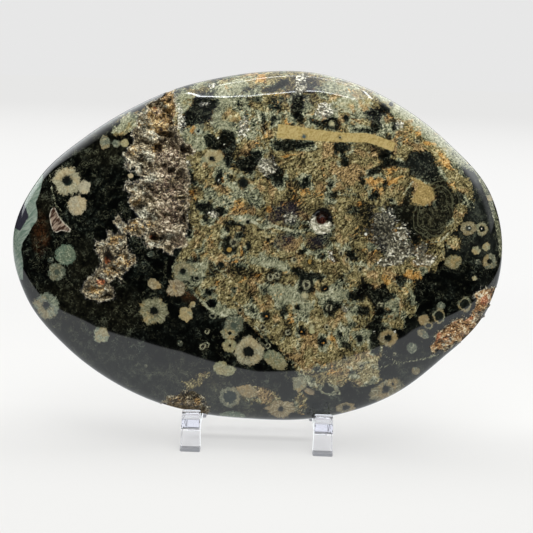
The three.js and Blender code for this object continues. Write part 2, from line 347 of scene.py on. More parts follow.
SNAP = 0.34             # points this near to a mouth's edge move onto it
PROBE = 0.05            # how far the snapping looks to either side
LEAST_STEEP = 0.3
WALL_WIDTH = 1.3        # across which a hollow's wall falls to its bed
POCKET_RAGGED = 0.35
DEEP_OUTSIDE = -99.0    # the mouth's distance before any hollow is looked at


def snapped(name, u, v):
    """Points next to a mouth's edge move onto it, so that the edge is a clean line."""
    near = abs(mouth(name, u, v)) < SNAP
    for _ in range(2):
        here = mouth(name, u, v)
        slope_u = (mouth(name, u + PROBE, v) - here) / PROBE
        slope_v = (mouth(name, u, v + PROBE) - here) / PROBE
        steep = np.maximum(slope_u ** 2 + slope_v ** 2, LEAST_STEEP)
        u = u - np.where(near, here * slope_u / steep, 0)
        v = v - np.where(near, here * slope_v / steep, 0)
    return u, v, np.where(near, 0, mouth(name, u, v))


def skin_front():
    """The front's points in the stone's axes, sunk into every hollow, and the mouths' distance."""
    angle, reach, _ = disc_grid(FRONT_CELLS)
    radius = outline_radius(angle)
    u, v = radius * reach * np.cos(angle), radius * reach * np.sin(angle)
    deepest = np.full(u.shape, DEEP_OUTSIDE)
    depth = np.zeros(u.shape)
    straight = np.ones(u.shape, bool)
    for name, hollow in HOLLOWS.items():
        u, v, inside = snapped(name, u, v)
        deepest = np.maximum(deepest, inside)
        depth = np.where(inside > 0, hollow["depth"] * smooth(inside, 0, WALL_WIDTH), depth)
        straight = np.where(inside > -1, name in STRAIGHT_HOLLOWS, straight)
    hole = 1 - np.hypot(u - POCKET["across"], v - POCKET["up"]) / POCKET["radius"]
    hole = hole + POCKET_RAGGED * layers(u, v, 2.0, 77, 2)
    depth = depth + POCKET["depth"] * np.sqrt(np.clip(1 - (1 - np.clip(hole, 0, 1)) ** 2, 0, 1))
    rim = reach >= 1
    u, v, w = face_point(u, v, depth, straight & ~rim)
    return u, v, w, deepest, hole


def rim_faces(front, back):
    """The back's cells. On the rim they take in the front's extra points, two of its edges to one."""
    faces = []
    last_row, last_column = back.shape[0] - 2, back.shape[1] - 2
    for i in range(last_row + 1):
        for j in range(last_column + 1):
            loop = [back[i, j]]
            if j == 0:
                loop.append(front[2 * i + 1, 0])
            loop.append(back[i + 1, j])
            if i == last_row:
                loop.append(front[-1, 2 * j + 1])
            loop.append(back[i + 1, j + 1])
            if j == last_column:
                loop.append(front[2 * i + 1, -1])
            loop.append(back[i, j + 1])
            if i == 0:
                loop.append(front[0, 2 * j + 1])
            faces.append([int(n) for n in loop])
    return faces


NOT_BROKEN = -9.0       # the mouth's and the pocket's distance on the unbroken back


def skin():
    """The whole skin: points, faces, and the distances inside the mouths and the pocket."""
    u, v, w, deepest, hole = skin_front()
    rows, columns = u.shape
    front_points = np.stack([u, v, w], -1).reshape(-1, 3)
    front = np.arange(rows * columns).reshape(rows, columns)
    faces = np.stack([front[:-1, :-1], front[:-1, 1:], front[1:, 1:], front[1:, :-1]],
                     -1).reshape(-1, 4).tolist()

    angle, reach, rise = disc_grid(BACK_CELLS)
    radius = outline_radius(angle)
    back = np.full(angle.shape, -1)
    inner = (slice(1, -1), slice(1, -1))
    back[inner] = front.size + np.arange(back[inner].size).reshape(back[inner].shape)
    for edge in ((0, slice(None)), (-1, slice(None)), (slice(None), 0), (slice(None), -1)):
        back[edge] = front[edge][::2]
    back_u, back_v = radius * reach * np.cos(angle), radius * reach * np.sin(angle)
    back_points = np.stack([back_u, back_v, -BACK_BULGE * rise], -1)[inner].reshape(-1, 3)

    back_u, back_v, back_w = back_points.T
    broken = np.full(len(back_points), NOT_BROKEN)
    for name in HOLLOWS:
        broken = np.maximum(broken, mouth(name, back_u, back_v) - BROKEN_SLOPE * abs(back_w))
    no_hole = np.full(len(broken), NOT_BROKEN)
    return (np.concatenate([front_points, back_points]), faces + rim_faces(front, back),
            np.concatenate([deepest.ravel(), broken]), np.concatenate([hole.ravel(), no_hole]))


# ---------------------------------------------------------------- materials

def colour(red, green, blue, alpha=1.0):
    """A colour given in the usual 0 to 255 scale, as the shader wants it."""
    def linear(value):
        value /= 255
        return value / 12.92 if value <= 0.04045 else ((value + 0.055) / 1.055) ** 2.4
    return linear(red), linear(green), linear(blue), alpha


def shades(stops, *colours):
    """A colour, 0 to 255, for each stop of a ramp."""
    return list(zip(stops, colours))


class Graph:
    """Builds the nodes of a material or a world. Nearly every method gives back its result's socket."""

    def __init__(self, owner):
        self.owner = owner
        self.owner.use_nodes = True
        self.tree = owner.node_tree
        self.tree.nodes.clear()

    def node(self, kind, inputs, **settings):
        """A node with its inputs set or linked; gives back the node itself."""
        made = self.tree.nodes.new("ShaderNode" + kind)
        for key, value in settings.items():
            setattr(made, key, value)
        for key, value in inputs.items():
            if isinstance(value, bpy.types.NodeSocket):
                self.tree.links.new(value, made.inputs[key])
            else:
                made.inputs[key].default_value = value
        return made

    def math(self, operation, *values):
        return self.node("Math", dict(enumerate(values)), operation=operation).outputs[0]

    def add(self, a, b):
        return self.math("ADD", a, b)

    def sub(self, a, b):
        return self.math("SUBTRACT", a, b)

    def mul(self, a, b):
        return self.math("MULTIPLY", a, b)

    def larger(self, a, b):
        return self.math("MAXIMUM", a, b)

    def total(self, *values):
        """The sum of any number of values."""
        made = values[0]
        for value in values[1:]:
            made = self.add(made, value)
        return made

    def centred(self, value, strength):
        """Noise that swings round 0 by that strength in all."""
        return self.mul(self.sub(value, 0.5), strength)

    def apart(self, a, b):
        """How far two values lie apart."""
        return self.math("ABSOLUTE", self.sub(a, b))

    def step(self, value, low, high):
        """0 at low, 1 at high; low may be the larger."""
        made = self.node("MapRange", {"Value": value, "From Min": low, "From Max": high},
                         interpolation_type="SMOOTHSTEP")
        return made.outputs[0]

    def mix(self, share, a, b):
        """A colour between a and b."""
        return self.node("Mix", {0: share, 6: a, 7: b}, data_type="RGBA").outputs[2]

    def mix_number(self, share, a, b):
        """A number between a and b."""
        return self.node("Mix", {0: share, 2: a, 3: b}).outputs[0]

    def ramp(self, value, stops):
        """A colour that goes from stop to stop; each is a value and a colour, 0 to 255."""
        made = self.node("ValToRGB", {0: value})
        band = made.color_ramp
        ends = stops[0], stops[-1]
        for element, (at, shade) in zip(band.elements, ends):
            element.position, element.color = at, colour(*shade)
        for at, shade in stops[1:-1]:
            band.elements.new(at).color = colour(*shade)
        return made.outputs[0]

    def here(self):
        """The place in the object's own axes, in metres."""
        return self.node("TexCoord", {}).outputs["Object"]

    def place(self):
        """Millimetres in the part's axes."""
        return self.node("VectorMath", {0: self.here(), "Scale": 1 / MM},
                         operation="SCALE").outputs[0]

    def axes(self, where):
        """Across, in depth and up."""
        return self.node("SeparateXYZ", {0: where}).outputs

    def noise(self, where, size, detail=2.0, rough=0.5, bend=0.0, colour=False):
        """Noise from 0 to 1, with lumps of about that size in the units of where."""
        made = self.node("TexNoise", {"Vector": where, "Scale": 1 / size, "Detail": detail,
                                      "Roughness": rough, "Distortion": bend})
        return made.outputs["Color" if colour else "Fac"]

    def cells(self, where, size):
        """A random number from 0 to 1 for each of the cells that fill the space."""
        made = self.node("TexVoronoi", {"Vector": where, "Scale": 1 / size})
        return self.node("SeparateColor", {0: made.outputs["Color"]}).outputs[0]

    def threads(self, where, size, detail, rough, level, width, core=0.0):
        """Thin lines where noise crosses a level: 1 within the core, 0 beyond the width."""
        return self.step(self.apart(self.noise(where, size, detail, rough), level), width, core)

    def warp(self, where, size, far):
        """where, moved about by noise."""
        shift = self.noise(where, size, 2.0, colour=True)
        shift = self.node("VectorMath", {0: shift, 1: (0.5, 0.5, 0.5)}, operation="SUBTRACT")
        shift = self.node("VectorMath", {0: shift.outputs[0], "Scale": 2.0 * far},
                          operation="SCALE")
        return self.node("VectorMath", {0: where, 1: shift.outputs[0]}, operation="ADD").outputs[0]

    def turned(self, where, turn, squeeze, shift=0.0):
        """where, turned about the axis in depth and squeezed, so that noise there runs in streaks."""
        made = self.node("VectorRotate", {"Vector": where, "Angle": turn}, rotation_type="Y_AXIS")
        return self.node("VectorMath", {0: made.outputs[0], 1: (squeeze, 1.0, 1.0),
                                        2: (shift, 0, 0)}, operation="MULTIPLY_ADD").outputs[0]

    def stored(self, name):
        """The four numbers kept at the vertices."""
        made = self.node("Attribute", {}, attribute_name=name)
        split = self.node("SeparateColor", {0: made.outputs["Color"]})
        return (*split.outputs, made.outputs["Alpha"])

    def stored_colour(self, name):
        """The first three of them, as a colour."""
        return self.node("Attribute", {}, attribute_name=name).outputs["Color"]

    def bump(self, height, strength, distance):
        """The surface's direction, tilted by a height."""
        return self.node("Bump", {"Height": height, "Strength": strength,
                                  "Distance": distance}).outputs[0]

    def output(self, shader, kind="OutputMaterial"):
        """Ends the graph with that shader; gives back the output node."""
        return self.node(kind, {"Surface": shader.outputs[0]})

    def surface(self, **sockets):
        """Ends the graph with a principled surface; gives back the output node."""
        return self.output(self.node("BsdfPrincipled", {
            key.replace("_", " "): value for key, value in sockets.items()}))


def material_graph(name):
    """The graph of a new material."""
    return Graph(bpy.data.materials.new(name))


# ---------------------------------------------------------------- the stone's markings
# Each is measured as it is seen from the camera above: pixels across, pixels down, size in pixels.

# The speckled tan matrix that fills the middle of the face; the rest is near-black green.
TAN_OUTLINE = [
    (176, 92), (196, 84), (240, 72), (300, 66), (352, 76), (378, 92), (396, 104), (414, 112),
    (432, 126), (448, 140), (462, 158), (470, 178), (464, 196), (468, 214), (458, 232),
    (444, 240), (446, 258), (436, 268), (424, 276), (418, 290), (412, 304), (402, 316),
    (394, 330), (386, 338), (380, 350), (378, 366), (382, 379), (366, 390), (348, 383),
    (334, 390), (318, 386), (306, 380), (293, 366), (276, 349), (262, 336), (248, 324),
    (232, 318), (216, 310), (204, 300), (190, 292), (178, 284), (172, 266), (180, 252),
    (176, 238), (178, 222), (178, 200), (180, 186), (178, 160), (172, 140), (168, 120)]

# Near-black patches within the tan, by their outlines.
DARK_PATCHES = [
    [(193, 99), (200, 97), (209, 98), (217, 99), (219, 103), (213, 110), (212, 117), (207, 122), (197, 124),
     (186, 126), (184, 133), (181, 126), (182, 116), (187, 110), (191, 105)],
    [(222, 130), (228, 129), (231, 133), (234, 133), (236, 140), (238, 148), (233, 152), (231, 160),
     (228, 167), (223, 160), (222, 153), (216, 148), (219, 140), (220, 134)],
    [(246, 158), (252, 153), (259, 151), (262, 155), (258, 164), (253, 170), (251, 175), (244, 172),
     (238, 167), (240, 163)],
    [(268, 152), (275, 158), (276, 166), (283, 170), (285, 178), (283, 186), (275, 187), (272, 180),
     (262, 178), (268, 174), (276, 171), (272, 162)],
    [(238, 181), (243, 178), (248, 180), (248, 185), (245, 188), (240, 187)],
    [(275, 140), (290, 140), (303, 142), (315, 142), (313, 147), (300, 148), (290, 150), (286, 152),
     (277, 150), (273, 144)],
    [(293, 97), (304, 95), (303, 106), (302, 115), (304, 124), (298, 122), (293, 118), (291, 108)],
    [(262, 113), (265, 116), (266, 130), (264, 134), (262, 124)],
    [(188, 170), (193, 175), (196, 184), (191, 184), (187, 178)],
    [(194, 204), (204, 203), (212, 204), (214, 208), (222, 207), (227, 212), (221, 214), (214, 212),
     (209, 213), (208, 217), (211, 221), (208, 224), (203, 222), (204, 214), (198, 209)],
    [(222, 222), (232, 220), (238, 223), (245, 224), (246, 230), (244, 236), (238, 238), (235, 234),
     (242, 230), (240, 226), (234, 226), (228, 225), (231, 231), (226, 231)],
    [(223, 238), (229, 236), (232, 240), (232, 246), (238, 248), (236, 253), (227, 255), (222, 248)],
    [(246, 242), (250, 242), (251, 248), (247, 249)],
    [(303, 177), (310, 176), (309, 183), (305, 187), (302, 183)],
    [(299, 251), (306, 246), (306, 252), (304, 257), (299, 255)],
    [(291, 268), (300, 266), (305, 272), (318, 273), (325, 277), (322, 281), (314, 278), (313, 284),
     (315, 290), (308, 294), (300, 293), (298, 288), (300, 282), (298, 276), (292, 273)],
    [(346, 250), (353, 251), (359, 262), (352, 260), (347, 256)],
    [(347, 296), (350, 292), (357, 290), (361, 284), (362, 276), (366, 280), (371, 284), (376, 288),
     (381, 285), (385, 281), (387, 288), (389, 293), (397, 297), (390, 301), (383, 303), (384, 309),
     (392, 311), (386, 316), (381, 316), (382, 322), (384, 328), (381, 334), (380, 345), (378, 356),
     (371, 352), (370, 340), (372, 332), (364, 328), (371, 322), (374, 316), (374, 308), (370, 302),
     (366, 296), (362, 303), (358, 299), (350, 300)],
    [(358, 309), (362, 307), (368, 310), (366, 316), (360, 316)],
    [(322, 309), (327, 304), (327, 300), (332, 299), (334, 304), (338, 301), (342, 305), (338, 310),
     (332, 312), (335, 316), (328, 316)],
    [(395, 276), (402, 274), (407, 277), (405, 284), (400, 287), (396, 283)],
    [(355, 335), (360, 334), (362, 340), (358, 342)], [(337, 331), (343, 333), (342, 338), (338, 337)],
    [(340, 340), (346, 341), (351, 344), (352, 351), (347, 349), (342, 346)],
    [(410, 155), (413, 151), (420, 151), (430, 152), (434, 158), (433, 168), (434, 176), (431, 183),
     (424, 180), (417, 176), (412, 170), (404, 166), (406, 158)],
    [(365, 177), (370, 171), (378, 166), (383, 163), (377, 158), (381, 153), (388, 150), (393, 152),
     (390, 158), (402, 162), (408, 160), (407, 168), (400, 166), (388, 166), (380, 170), (372, 176)],
    [(333, 143), (343, 142), (351, 145), (351, 150), (345, 152), (347, 158), (351, 163), (346, 167),
     (340, 164), (343, 159), (339, 152), (336, 158), (333, 152)],
    [(310, 118), (318, 121), (325, 119), (328, 116), (335, 117), (340, 122), (340, 129), (330, 130),
     (318, 126), (311, 123)],
    [(343, 114), (346, 116), (350, 115), (347, 121), (344, 121)],
    [(364, 114), (370, 110), (378, 107), (386, 109), (392, 111), (391, 115), (382, 114), (380, 120),
     (381, 127), (377, 133), (370, 131), (373, 122), (372, 116)],
    [(352, 130), (362, 128), (372, 129), (377, 134), (366, 133)], [(386, 133), (391, 136), (388, 140)],
    [(393, 118), (396, 122), (395, 131), (392, 130)],
    [(386, 208), (393, 205), (400, 205), (404, 197), (408, 190), (415, 187), (410, 196), (411, 204),
     (420, 207), (421, 218), (418, 230), (421, 242), (417, 246), (409, 238), (405, 230), (400, 222),
     (392, 221), (386, 215)],
    [(450, 193), (458, 190), (463, 194), (462, 200), (456, 206), (452, 215), (447, 222), (441, 227),
     (439, 222), (444, 216), (447, 206), (449, 198)],
    [(262, 92), (270, 88), (281, 80), (288, 79), (290, 84), (280, 88), (270, 93)],
    [(378, 104), (386, 103), (392, 108), (391, 113), (382, 112)],
    [(204, 134), (212, 134), (219, 140), (220, 150), (214, 153), (208, 148), (204, 142)],
    [(409, 160), (434, 157), (439, 171), (448, 182), (455, 198), (451, 219), (441, 234), (424, 238),
     (410, 232), (398, 219), (400, 210), (416, 208), (436, 206), (438, 190), (424, 178), (410, 174)],
    [(360, 172), (364, 176), (366, 185), (361, 183)], [(328, 196), (333, 193), (337, 196), (334, 200)],
    [(402, 275), (416, 284), (412, 292), (420, 300), (440, 290), (430, 270), (418, 282)]]

# Dark olive patches, in the same form.
DIM_PATCHES = [
    [(205, 84), (214, 80), (219, 84), (218, 97), (205, 97), (200, 90)],
    [(195, 90), (203, 88), (206, 96), (196, 97)],
    [(300, 79), (316, 78), (318, 86), (312, 92), (302, 92)], [(240, 88), (250, 86), (252, 91), (243, 92)],
    [(228, 152), (246, 150), (262, 152), (262, 158), (256, 166), (251, 176), (240, 168), (227, 166)],
    [(286, 178), (297, 177), (300, 184), (298, 192), (296, 206), (288, 206), (286, 196), (287, 188)],
    [(436, 182), (447, 184), (449, 200), (446, 214), (440, 224), (446, 230), (436, 238), (424, 241),
     (419, 232), (420, 208), (428, 206), (435, 200), (435, 190)],
    [(226, 262), (236, 263), (246, 268), (262, 274), (262, 279), (246, 278), (238, 276), (228, 272)],
    [(348, 205), (366, 202), (374, 206), (372, 218), (358, 216), (350, 214)],
    [(318, 232), (332, 234), (336, 240), (326, 248), (312, 252), (304, 246)],
    [(266, 271), (275, 269), (283, 272), (282, 280), (275, 284), (268, 284), (264, 278)],
    [(330, 250), (337, 252), (336, 264), (331, 262)], [(228, 176), (235, 177), (235, 181), (229, 181)],
    [(216, 170), (222, 172), (223, 181), (218, 186), (214, 178)],
    [(222, 104), (228, 105), (227, 118), (222, 114)],
    [(238, 100), (244, 100), (243, 111), (238, 108)],
    [(242, 98), (260, 97), (262, 104), (250, 108), (243, 106)],
    [(266, 98), (275, 97), (282, 106), (280, 112), (272, 110), (267, 104)],
    [(366, 144), (378, 145), (389, 150), (384, 156), (374, 152), (367, 150)],
    [(300, 158), (306, 160), (304, 168), (300, 165)], [(263, 289), (270, 291), (268, 299), (262, 297)],
    [(246, 290), (254, 292), (254, 302), (249, 300)], [(206, 289), (213, 290), (212, 297), (206, 295)],
    [(208, 299), (216, 300), (217, 307), (211, 306)], [(281, 303), (287, 304), (287, 313), (282, 310)],
    [(293, 304), (301, 305), (299, 311), (293, 310)], [(283, 318), (292, 322), (292, 328), (284, 326)],
    [(262, 336), (270, 335), (275, 341), (266, 343)], [(249, 319), (255, 320), (254, 325), (249, 323)],
    [(186, 206), (194, 210), (190, 222), (192, 236), (185, 240), (184, 220)],
    [(193, 256), (199, 256), (200, 262), (192, 264)], [(186, 259), (192, 261), (191, 267), (186, 266)],
    [(350, 322), (360, 323), (362, 327), (352, 328)], [(320, 254), (325, 255), (324, 259), (320, 258)],
    [(340, 274), (344, 276), (343, 281), (340, 279)], [(256, 224), (264, 226), (263, 230), (257, 229)],
    [(281, 330), (291, 328), (292, 336), (283, 337)], [(210, 262), (222, 270), (214, 280), (206, 272)]]

# Pale sage and cream patches, in the same form. The one just under the top rim at the right is a
# painted highlight of the lamp's glare.
PALE_PATCHES = [
    [(113, 132), (117, 127), (120, 121), (126, 115), (136, 116), (139, 123), (135, 129), (129, 132),
     (121, 136), (114, 134)],
    [(219, 100), (230, 98), (234, 104), (229, 108), (232, 118), (236, 126), (230, 131), (222, 130),
     (214, 128), (210, 124), (213, 117), (214, 110), (222, 112)],
    [(188, 126), (196, 124), (206, 125), (207, 132), (209, 141), (205, 150), (196, 151), (190, 144),
     (184, 141), (187, 134)],
    [(176, 98), (182, 92), (191, 94), (193, 100), (190, 108), (184, 112), (178, 108)],
    [(202, 156), (207, 151), (216, 152), (223, 158), (226, 166), (220, 167), (217, 162), (213, 156),
     (208, 157), (206, 163), (202, 163)],
    [(222, 167), (232, 168), (242, 174), (250, 180), (252, 187), (248, 188), (247, 181), (240, 177),
     (228, 174)],
    [(251, 186), (258, 185), (260, 192), (254, 196)], [(228, 183), (238, 184), (240, 191), (230, 190)],
    [(234, 218), (241, 215), (250, 216), (258, 223), (264, 228), (255, 229), (248, 226), (240, 222)],
    [(245, 256), (252, 255), (258, 260), (256, 264), (248, 262)],
    [(256, 264), (266, 262), (275, 260), (286, 261), (292, 267), (284, 270), (272, 266), (260, 268)],
    [(268, 290), (276, 284), (290, 287), (298, 294), (300, 303), (288, 306), (278, 300), (270, 297)],
    [(316, 286), (328, 293), (346, 290), (346, 299), (334, 299), (322, 300), (314, 296)],
    [(384, 303), (390, 300), (397, 297), (401, 301), (399, 309), (393, 312), (388, 307)],
    [(353, 242), (362, 241), (374, 243), (377, 248), (370, 252), (358, 250)],
    [(200, 298), (212, 308), (224, 308), (236, 312), (226, 316), (214, 314), (204, 306)],
    [(296, 300), (314, 301), (316, 308), (304, 312), (298, 307)],
    [(186, 262), (198, 262), (208, 268), (204, 276), (192, 276), (184, 270)],
    [(384, 318), (394, 318), (398, 322), (392, 328), (386, 326)],
    [(214, 96), (220, 86), (234, 80), (247, 80), (250, 86), (240, 92), (228, 96)],
    [(192, 88), (200, 82), (209, 80), (209, 86), (200, 90)],
    [(320, 82), (334, 80), (356, 86), (364, 96), (350, 98), (330, 92)],
    [(378, 92), (396, 100), (420, 114), (442, 132), (460, 150), (474, 172), (466, 168), (450, 158),
     (434, 146),
     (414, 128), (396, 116), (382, 103)],
    # painted highlight: the lamp's glare just under the top rim
    [(338, 97), (352, 95), (366, 97), (374, 103), (370, 108), (358, 110), (346, 111), (338, 105)],
 [(300, 376), (312, 376), (318, 386), (306, 384)],
    [(346, 310), (354, 316), (352, 324), (345, 318)]]

# Small near-black spots: across, down, half width, half height, turn in degrees.
BLOTS = [
    (304, 184, 6, 3, 0), (332, 195, 4, 3, 0), (322, 256, 3, 3, 0), (196, 278, 4, 3, 0),
    (330, 186, 3, 3, 0), (214, 214, 6, 3, 0), (364, 311, 6, 5, 0), (318, 368, 3, 2, 0),
    (284, 312, 3, 4, 0), (298, 307, 3, 4, 0), (266, 316, 4, 4, 0), (302, 331, 4.5, 4, 0),
    (325, 288, 4, 3.5, 0), (322, 342, 4.5, 4.5, 0), (188, 230, 4, 6, 0), (219, 179, 2.5, 5, 0),
    (388, 338, 2.5, 2, 0), (252, 310, 4, 2.5, 40), (210, 293, 4, 3, 0), (212, 303, 4, 3, 0),
    (221, 265, 3, 2.5, 0), (234, 334, 3, 2, 0), (262, 352, 4, 3, 0), (352, 372, 4, 2, 0),
    (240, 163, 3, 3, 0), (253, 124, 1.6, 1.6, 0), (233, 124.5, 3.5, 2, 10), (273, 120, 2, 4, 0),
    (386, 184, 2, 3, 30), (374, 196, 5, 4, -30), (300, 118, 3, 6, -20), (246, 116, 1.5, 4, 0)]

# Tan islands beyond the matrix, in the same form.
TAN_ISLANDS = [
    (406, 306, 13, 12, 20), (396, 322, 9, 9, 0), (386, 338, 9, 8, 0), (426, 266, 8, 10, 0),
    (388, 390, 17, 8, -25), (262, 396, 18, 8, 10), (452, 166, 6, 16, -30), (467, 192, 6, 18, -8),
    (193, 384, 11, 6, -20), (204, 376, 7, 4, 10), (300, 404, 7, 10, 0), (454, 243, 8, 7, 0),
    (130, 118, 12, 6, -20), (148, 112, 10, 5, -30)]

# Lighter and darker parts of the tan and its druse: across, down, half width, half height, turn,
# strength. The light ones just under the top rim are painted highlight of the lamp's glare, and
# the dark ones on the main hollow's right edge are painted shade of its recess.
TONE_AND_PAINTED_LIGHT_WASH = [
    (376, 228, 20, 20, 0, -1.8), (380, 254, 30, 12, 0, -1.1), (424, 250, 16, 10, 0, -0.9),
    (392, 204, 12, 9, 0, -1.1),
    (272, 166, 12, 8, 0, -0.8), (190, 286, 9, 12, 0, -1.4), (292, 212, 24, 13, 0, -0.8),
    (311, 184, 10, 9, 0, -0.9),
    (310, 224, 10, 8, 0, -1.4), (270, 226, 11, 7, 0, -0.7), (190, 264, 10, 8, 0, -0.9),
    (204, 304, 14, 8, 30, -0.7),
    (270, 346, 9, 8, 0, -0.7), (290, 366, 8, 6, 30, -0.9), (190, 180, 7, 20, 0, -0.8),
    (240, 244, 12, 8, 0, -0.4),
    (252, 326, 8, 8, 0, 0.7), (312, 324, 12, 8, 0, 1.0), (330, 246, 10, 7, 0, 0.7),
    (366, 368, 22, 12, 0, 1.0),
    (330, 384, 16, 7, 0, 0.7), (350, 104, 20, 8, 10, 1.2), (312, 104, 9, 7, 0, 0.9),
    (250, 104, 9, 6, 0, 0.9),
    (232, 84, 30, 6, -10, 1.1), (410, 120, 18, 8, 40, 0.9), (440, 150, 18, 8, 50, 1.0),
    (472, 184, 5, 12, -15, 1.0),
    (452, 245, 9, 6, 0, 1.0), (412, 346, 8, 6, 0, 0.7), (372, 164, 9, 6, 0, 0.5), (212, 264, 7, 6, 0, 0.3),
    (366, 101, 11, 6, 10, 1.0), (384, 236, 22, 20, 0, -0.4), (240, 348, 10, 10, 0, -0.5),
    (410, 303, 7, 7, 0, -1.2),
    (230, 326, 12, 9, 0, -1.5), (330, 226, 9, 8, 0, -1.1), (250, 344, 10, 7, 0, -0.9),
    (310, 226, 9, 7, 0, -0.9),
    (410, 242, 10, 10, 0, -1.1), (432, 246, 10, 7, 0, -1.0), (190, 186, 8, 12, 0, -0.9),
    (310, 246, 8, 7, 0, 0.9),
    (290, 346, 10, 8, 0, 1.0), (270, 344, 8, 6, 0, 0.9), (370, 306, 8, 7, 0, 0.8),
    (390, 384, 10, 7, -20, 0.9),
    (270, 384, 9, 8, 0, -1.3), (188, 128, 8, 14, 0, -0.8), (190, 168, 7, 14, 0, -0.6)]
SMOKE_AND_VEIL_WASH = [                      # smooth dark grey over the black; along the lower and right rims it is a painted reflection veil
    (474, 204, 11, 30, -18, 1.0), (486, 240, 14, 22, 0, 0.8), (462, 244, 14, 12, 0, 0.5),
    (130, 374, 70, 18, 22, 0.8),
    (250, 400, 90, 13, 5, 0.7), (414, 374, 46, 16, -30, 0.7), (54, 334, 22, 12, 40, 0.6),
    (420, 166, 18, 12, 0, 0.7), (210, 112, 14, 12, 0, 0.4), (480, 286, 12, 12, 0, 0.4)]
DEEP_WASH = [                       # where the black has no grey and no painted veil on it
    (182, 320, 26, 20, 0, 1.0), (176, 342, 30, 12, 0, 1.0), (412, 318, 13, 13, 0, 1.0),
    (446, 282, 26, 16, 0, 0.8),
    (74, 306, 26, 10, 0, 0.7), (88, 252, 14, 14, 0, 0.6), (408, 225, 14, 15, 0, 1.2),
    (411, 324, 12, 10, 0, 1.0), (110, 190, 10, 20, 0, 0.3)]

# Washes of colour and of druse: across, down, half width, half height, turn, strength.
ORANGE_WASH = [
    (386, 181, 15, 7, -12, 1.5), (376, 191, 6, 5, 0, 1.3),
    (398, 178, 15, 4, -8, 1.2), (380, 192, 4, 10, 15, 1.1), (392, 171, 4, 6, 0, 1.1),
    (374, 181, 8, 4, -25, 0.9),
    (268, 208, 2.4, 5, -30, 1.4), (259, 81, 8, 4.5, 0, 1.3), (410, 130, 10, 3.4, 5, 1.2),
    (360, 203, 9, 3, 0, 0.8),
    (304, 152, 3.4, 6.5, 0, 1.1), (293, 153, 8, 4, 0, 0.7), (283, 157, 4, 1.4, 0, 1.0),
    (322, 170, 2.2, 9, -8, 0.9),
    (268, 132, 2.4, 6, 0, 1.1), (256, 146, 2.4, 7, -35, 0.9), (308, 193, 15, 7, 0, 1.0),
    (345, 190, 12, 5, 0, 0.6),
    (240.5, 252, 1.7, 7, -5, 1.4), (235, 262, 4, 1.4, 0, 1.2), (258, 273, 8, 2.4, 15, 0.9),
    (261, 245, 8, 5, 0, 0.7),
    (240, 205, 7, 8, 0, 0.7), (207, 180, 3, 1.6, 0, 1.2), (224, 179, 3, 4, 0, 0.9),
    (197, 160, 3, 1.8, 0, 1.2),
    (212, 164, 2, 4.4, -35, 1.2), (193, 195, 2.4, 2.4, 0, 1.2), (196, 199, 2, 1.4, 0, 1.1),
    (206, 189, 3, 3, 0, 0.8),
    (420, 133, 3.4, 3.4, 0, 1.0), (427, 144, 5, 3, 0, 1.0), (392, 117, 6, 3, 0, 0.8),
    (445, 163, 5, 9, -30, 0.9),
    (451, 179, 5, 10, 0, 0.8), (398, 228, 8, 4, 0, 0.7), (430, 243, 14, 2.2, 0, 0.9),
    (410, 275, 9, 6, 0, 1.0),
    (384, 278, 4, 18, -38, 0.6), (400, 288, 10, 5, 0, 0.6), (352, 305, 2.6, 6, 0, 0.8),
    (363, 336, 3, 6, 0, 0.8),
    (218, 286, 3.4, 4, 0, 0.9), (188, 289, 2.4, 4.5, -40, 1.2), (202, 240, 1.6, 5, 0, 1.0),
    (212, 240, 4, 2, 25, 0.8),
    (350, 126, 8, 4, 0, 0.5), (312, 196, 20, 6, 0, 0.4), (290, 320, 30, 10, 10, 0.3),
    (262, 312, 9, 6, 0, 0.6),
    (316, 350, 34, 12, 25, 0.35), (244, 122, 12, 18, 5, 0.45), (192, 130, 2.4, 4.4, 0, 1.0),
    (186, 104, 5, 7, 0, 0.6),
    (206, 138, 2.4, 1.8, 0, 0.8), (332, 339, 2.6, 2.6, 0, 1.0), (305, 337, 14, 5, 0, 0.5),
    (230, 88, 5, 3, -20, 0.7),
    (350, 91, 6, 3, 0, 0.6), (459, 232, 4, 6, 0, 0.8), (366, 252, 9, 3, 0, 0.6),
    (330, 262, 12, 12, 0, 0.25)]
SAGE_WASH = [
    (250, 106, 70, 28, 0, 0.62), (340, 104, 50, 22, 10, 0.5), (420, 122, 40, 12, 40, 0.8),
    (464, 164, 24, 10, 55, 0.8),
    (280, 292, 18, 8, 15, 1.0), (262, 222, 26, 5, 12, 0.9), (296, 236, 34, 5, 6, 0.8),
    (240, 262, 14, 6, 30, 0.7), (272, 262, 24, 5, 20, 0.8), (226, 314, 24, 5, 25, 0.9),
    (330, 300, 14, 10, 0, 0.6), (222, 200, 20, 9, 0, 0.6), (232, 122, 16, 12, 0, 0.5),
    (212, 88, 26, 6, -15, 0.7), (336, 322, 16, 10, 0, 0.5), (300, 376, 20, 5, 35, 0.7),
    (352, 318, 8, 16, 0, 0.6), (200, 132, 12, 14, 0, 0.4), (328, 230, 8, 16, 20, 0.5),
    (362, 84, 26, 9, 22, 0.5), (222, 96, 20, 6, 0, 0.5), (410, 234, 22, 8, 10, 0.4),
    (222, 180, 34, 20, 20, 0.35), (320, 330, 30, 20, 10, 0.2), (182, 270, 14, 16, 0, 0.7),
    (196, 140, 12, 12, 0, 0.7), (214, 160, 12, 9, 0, 0.6), (224, 118, 12, 14, 0, 0.6),
    (126, 124, 14, 10, 0, 1.0),
    (248, 103, 3, 4, 0, 0.9), (310, 172, 6, 12, 0, 0.5), (370, 244, 9, 5, 0, 0.5),
    (182, 140, 8, 18, 0, 0.6)]
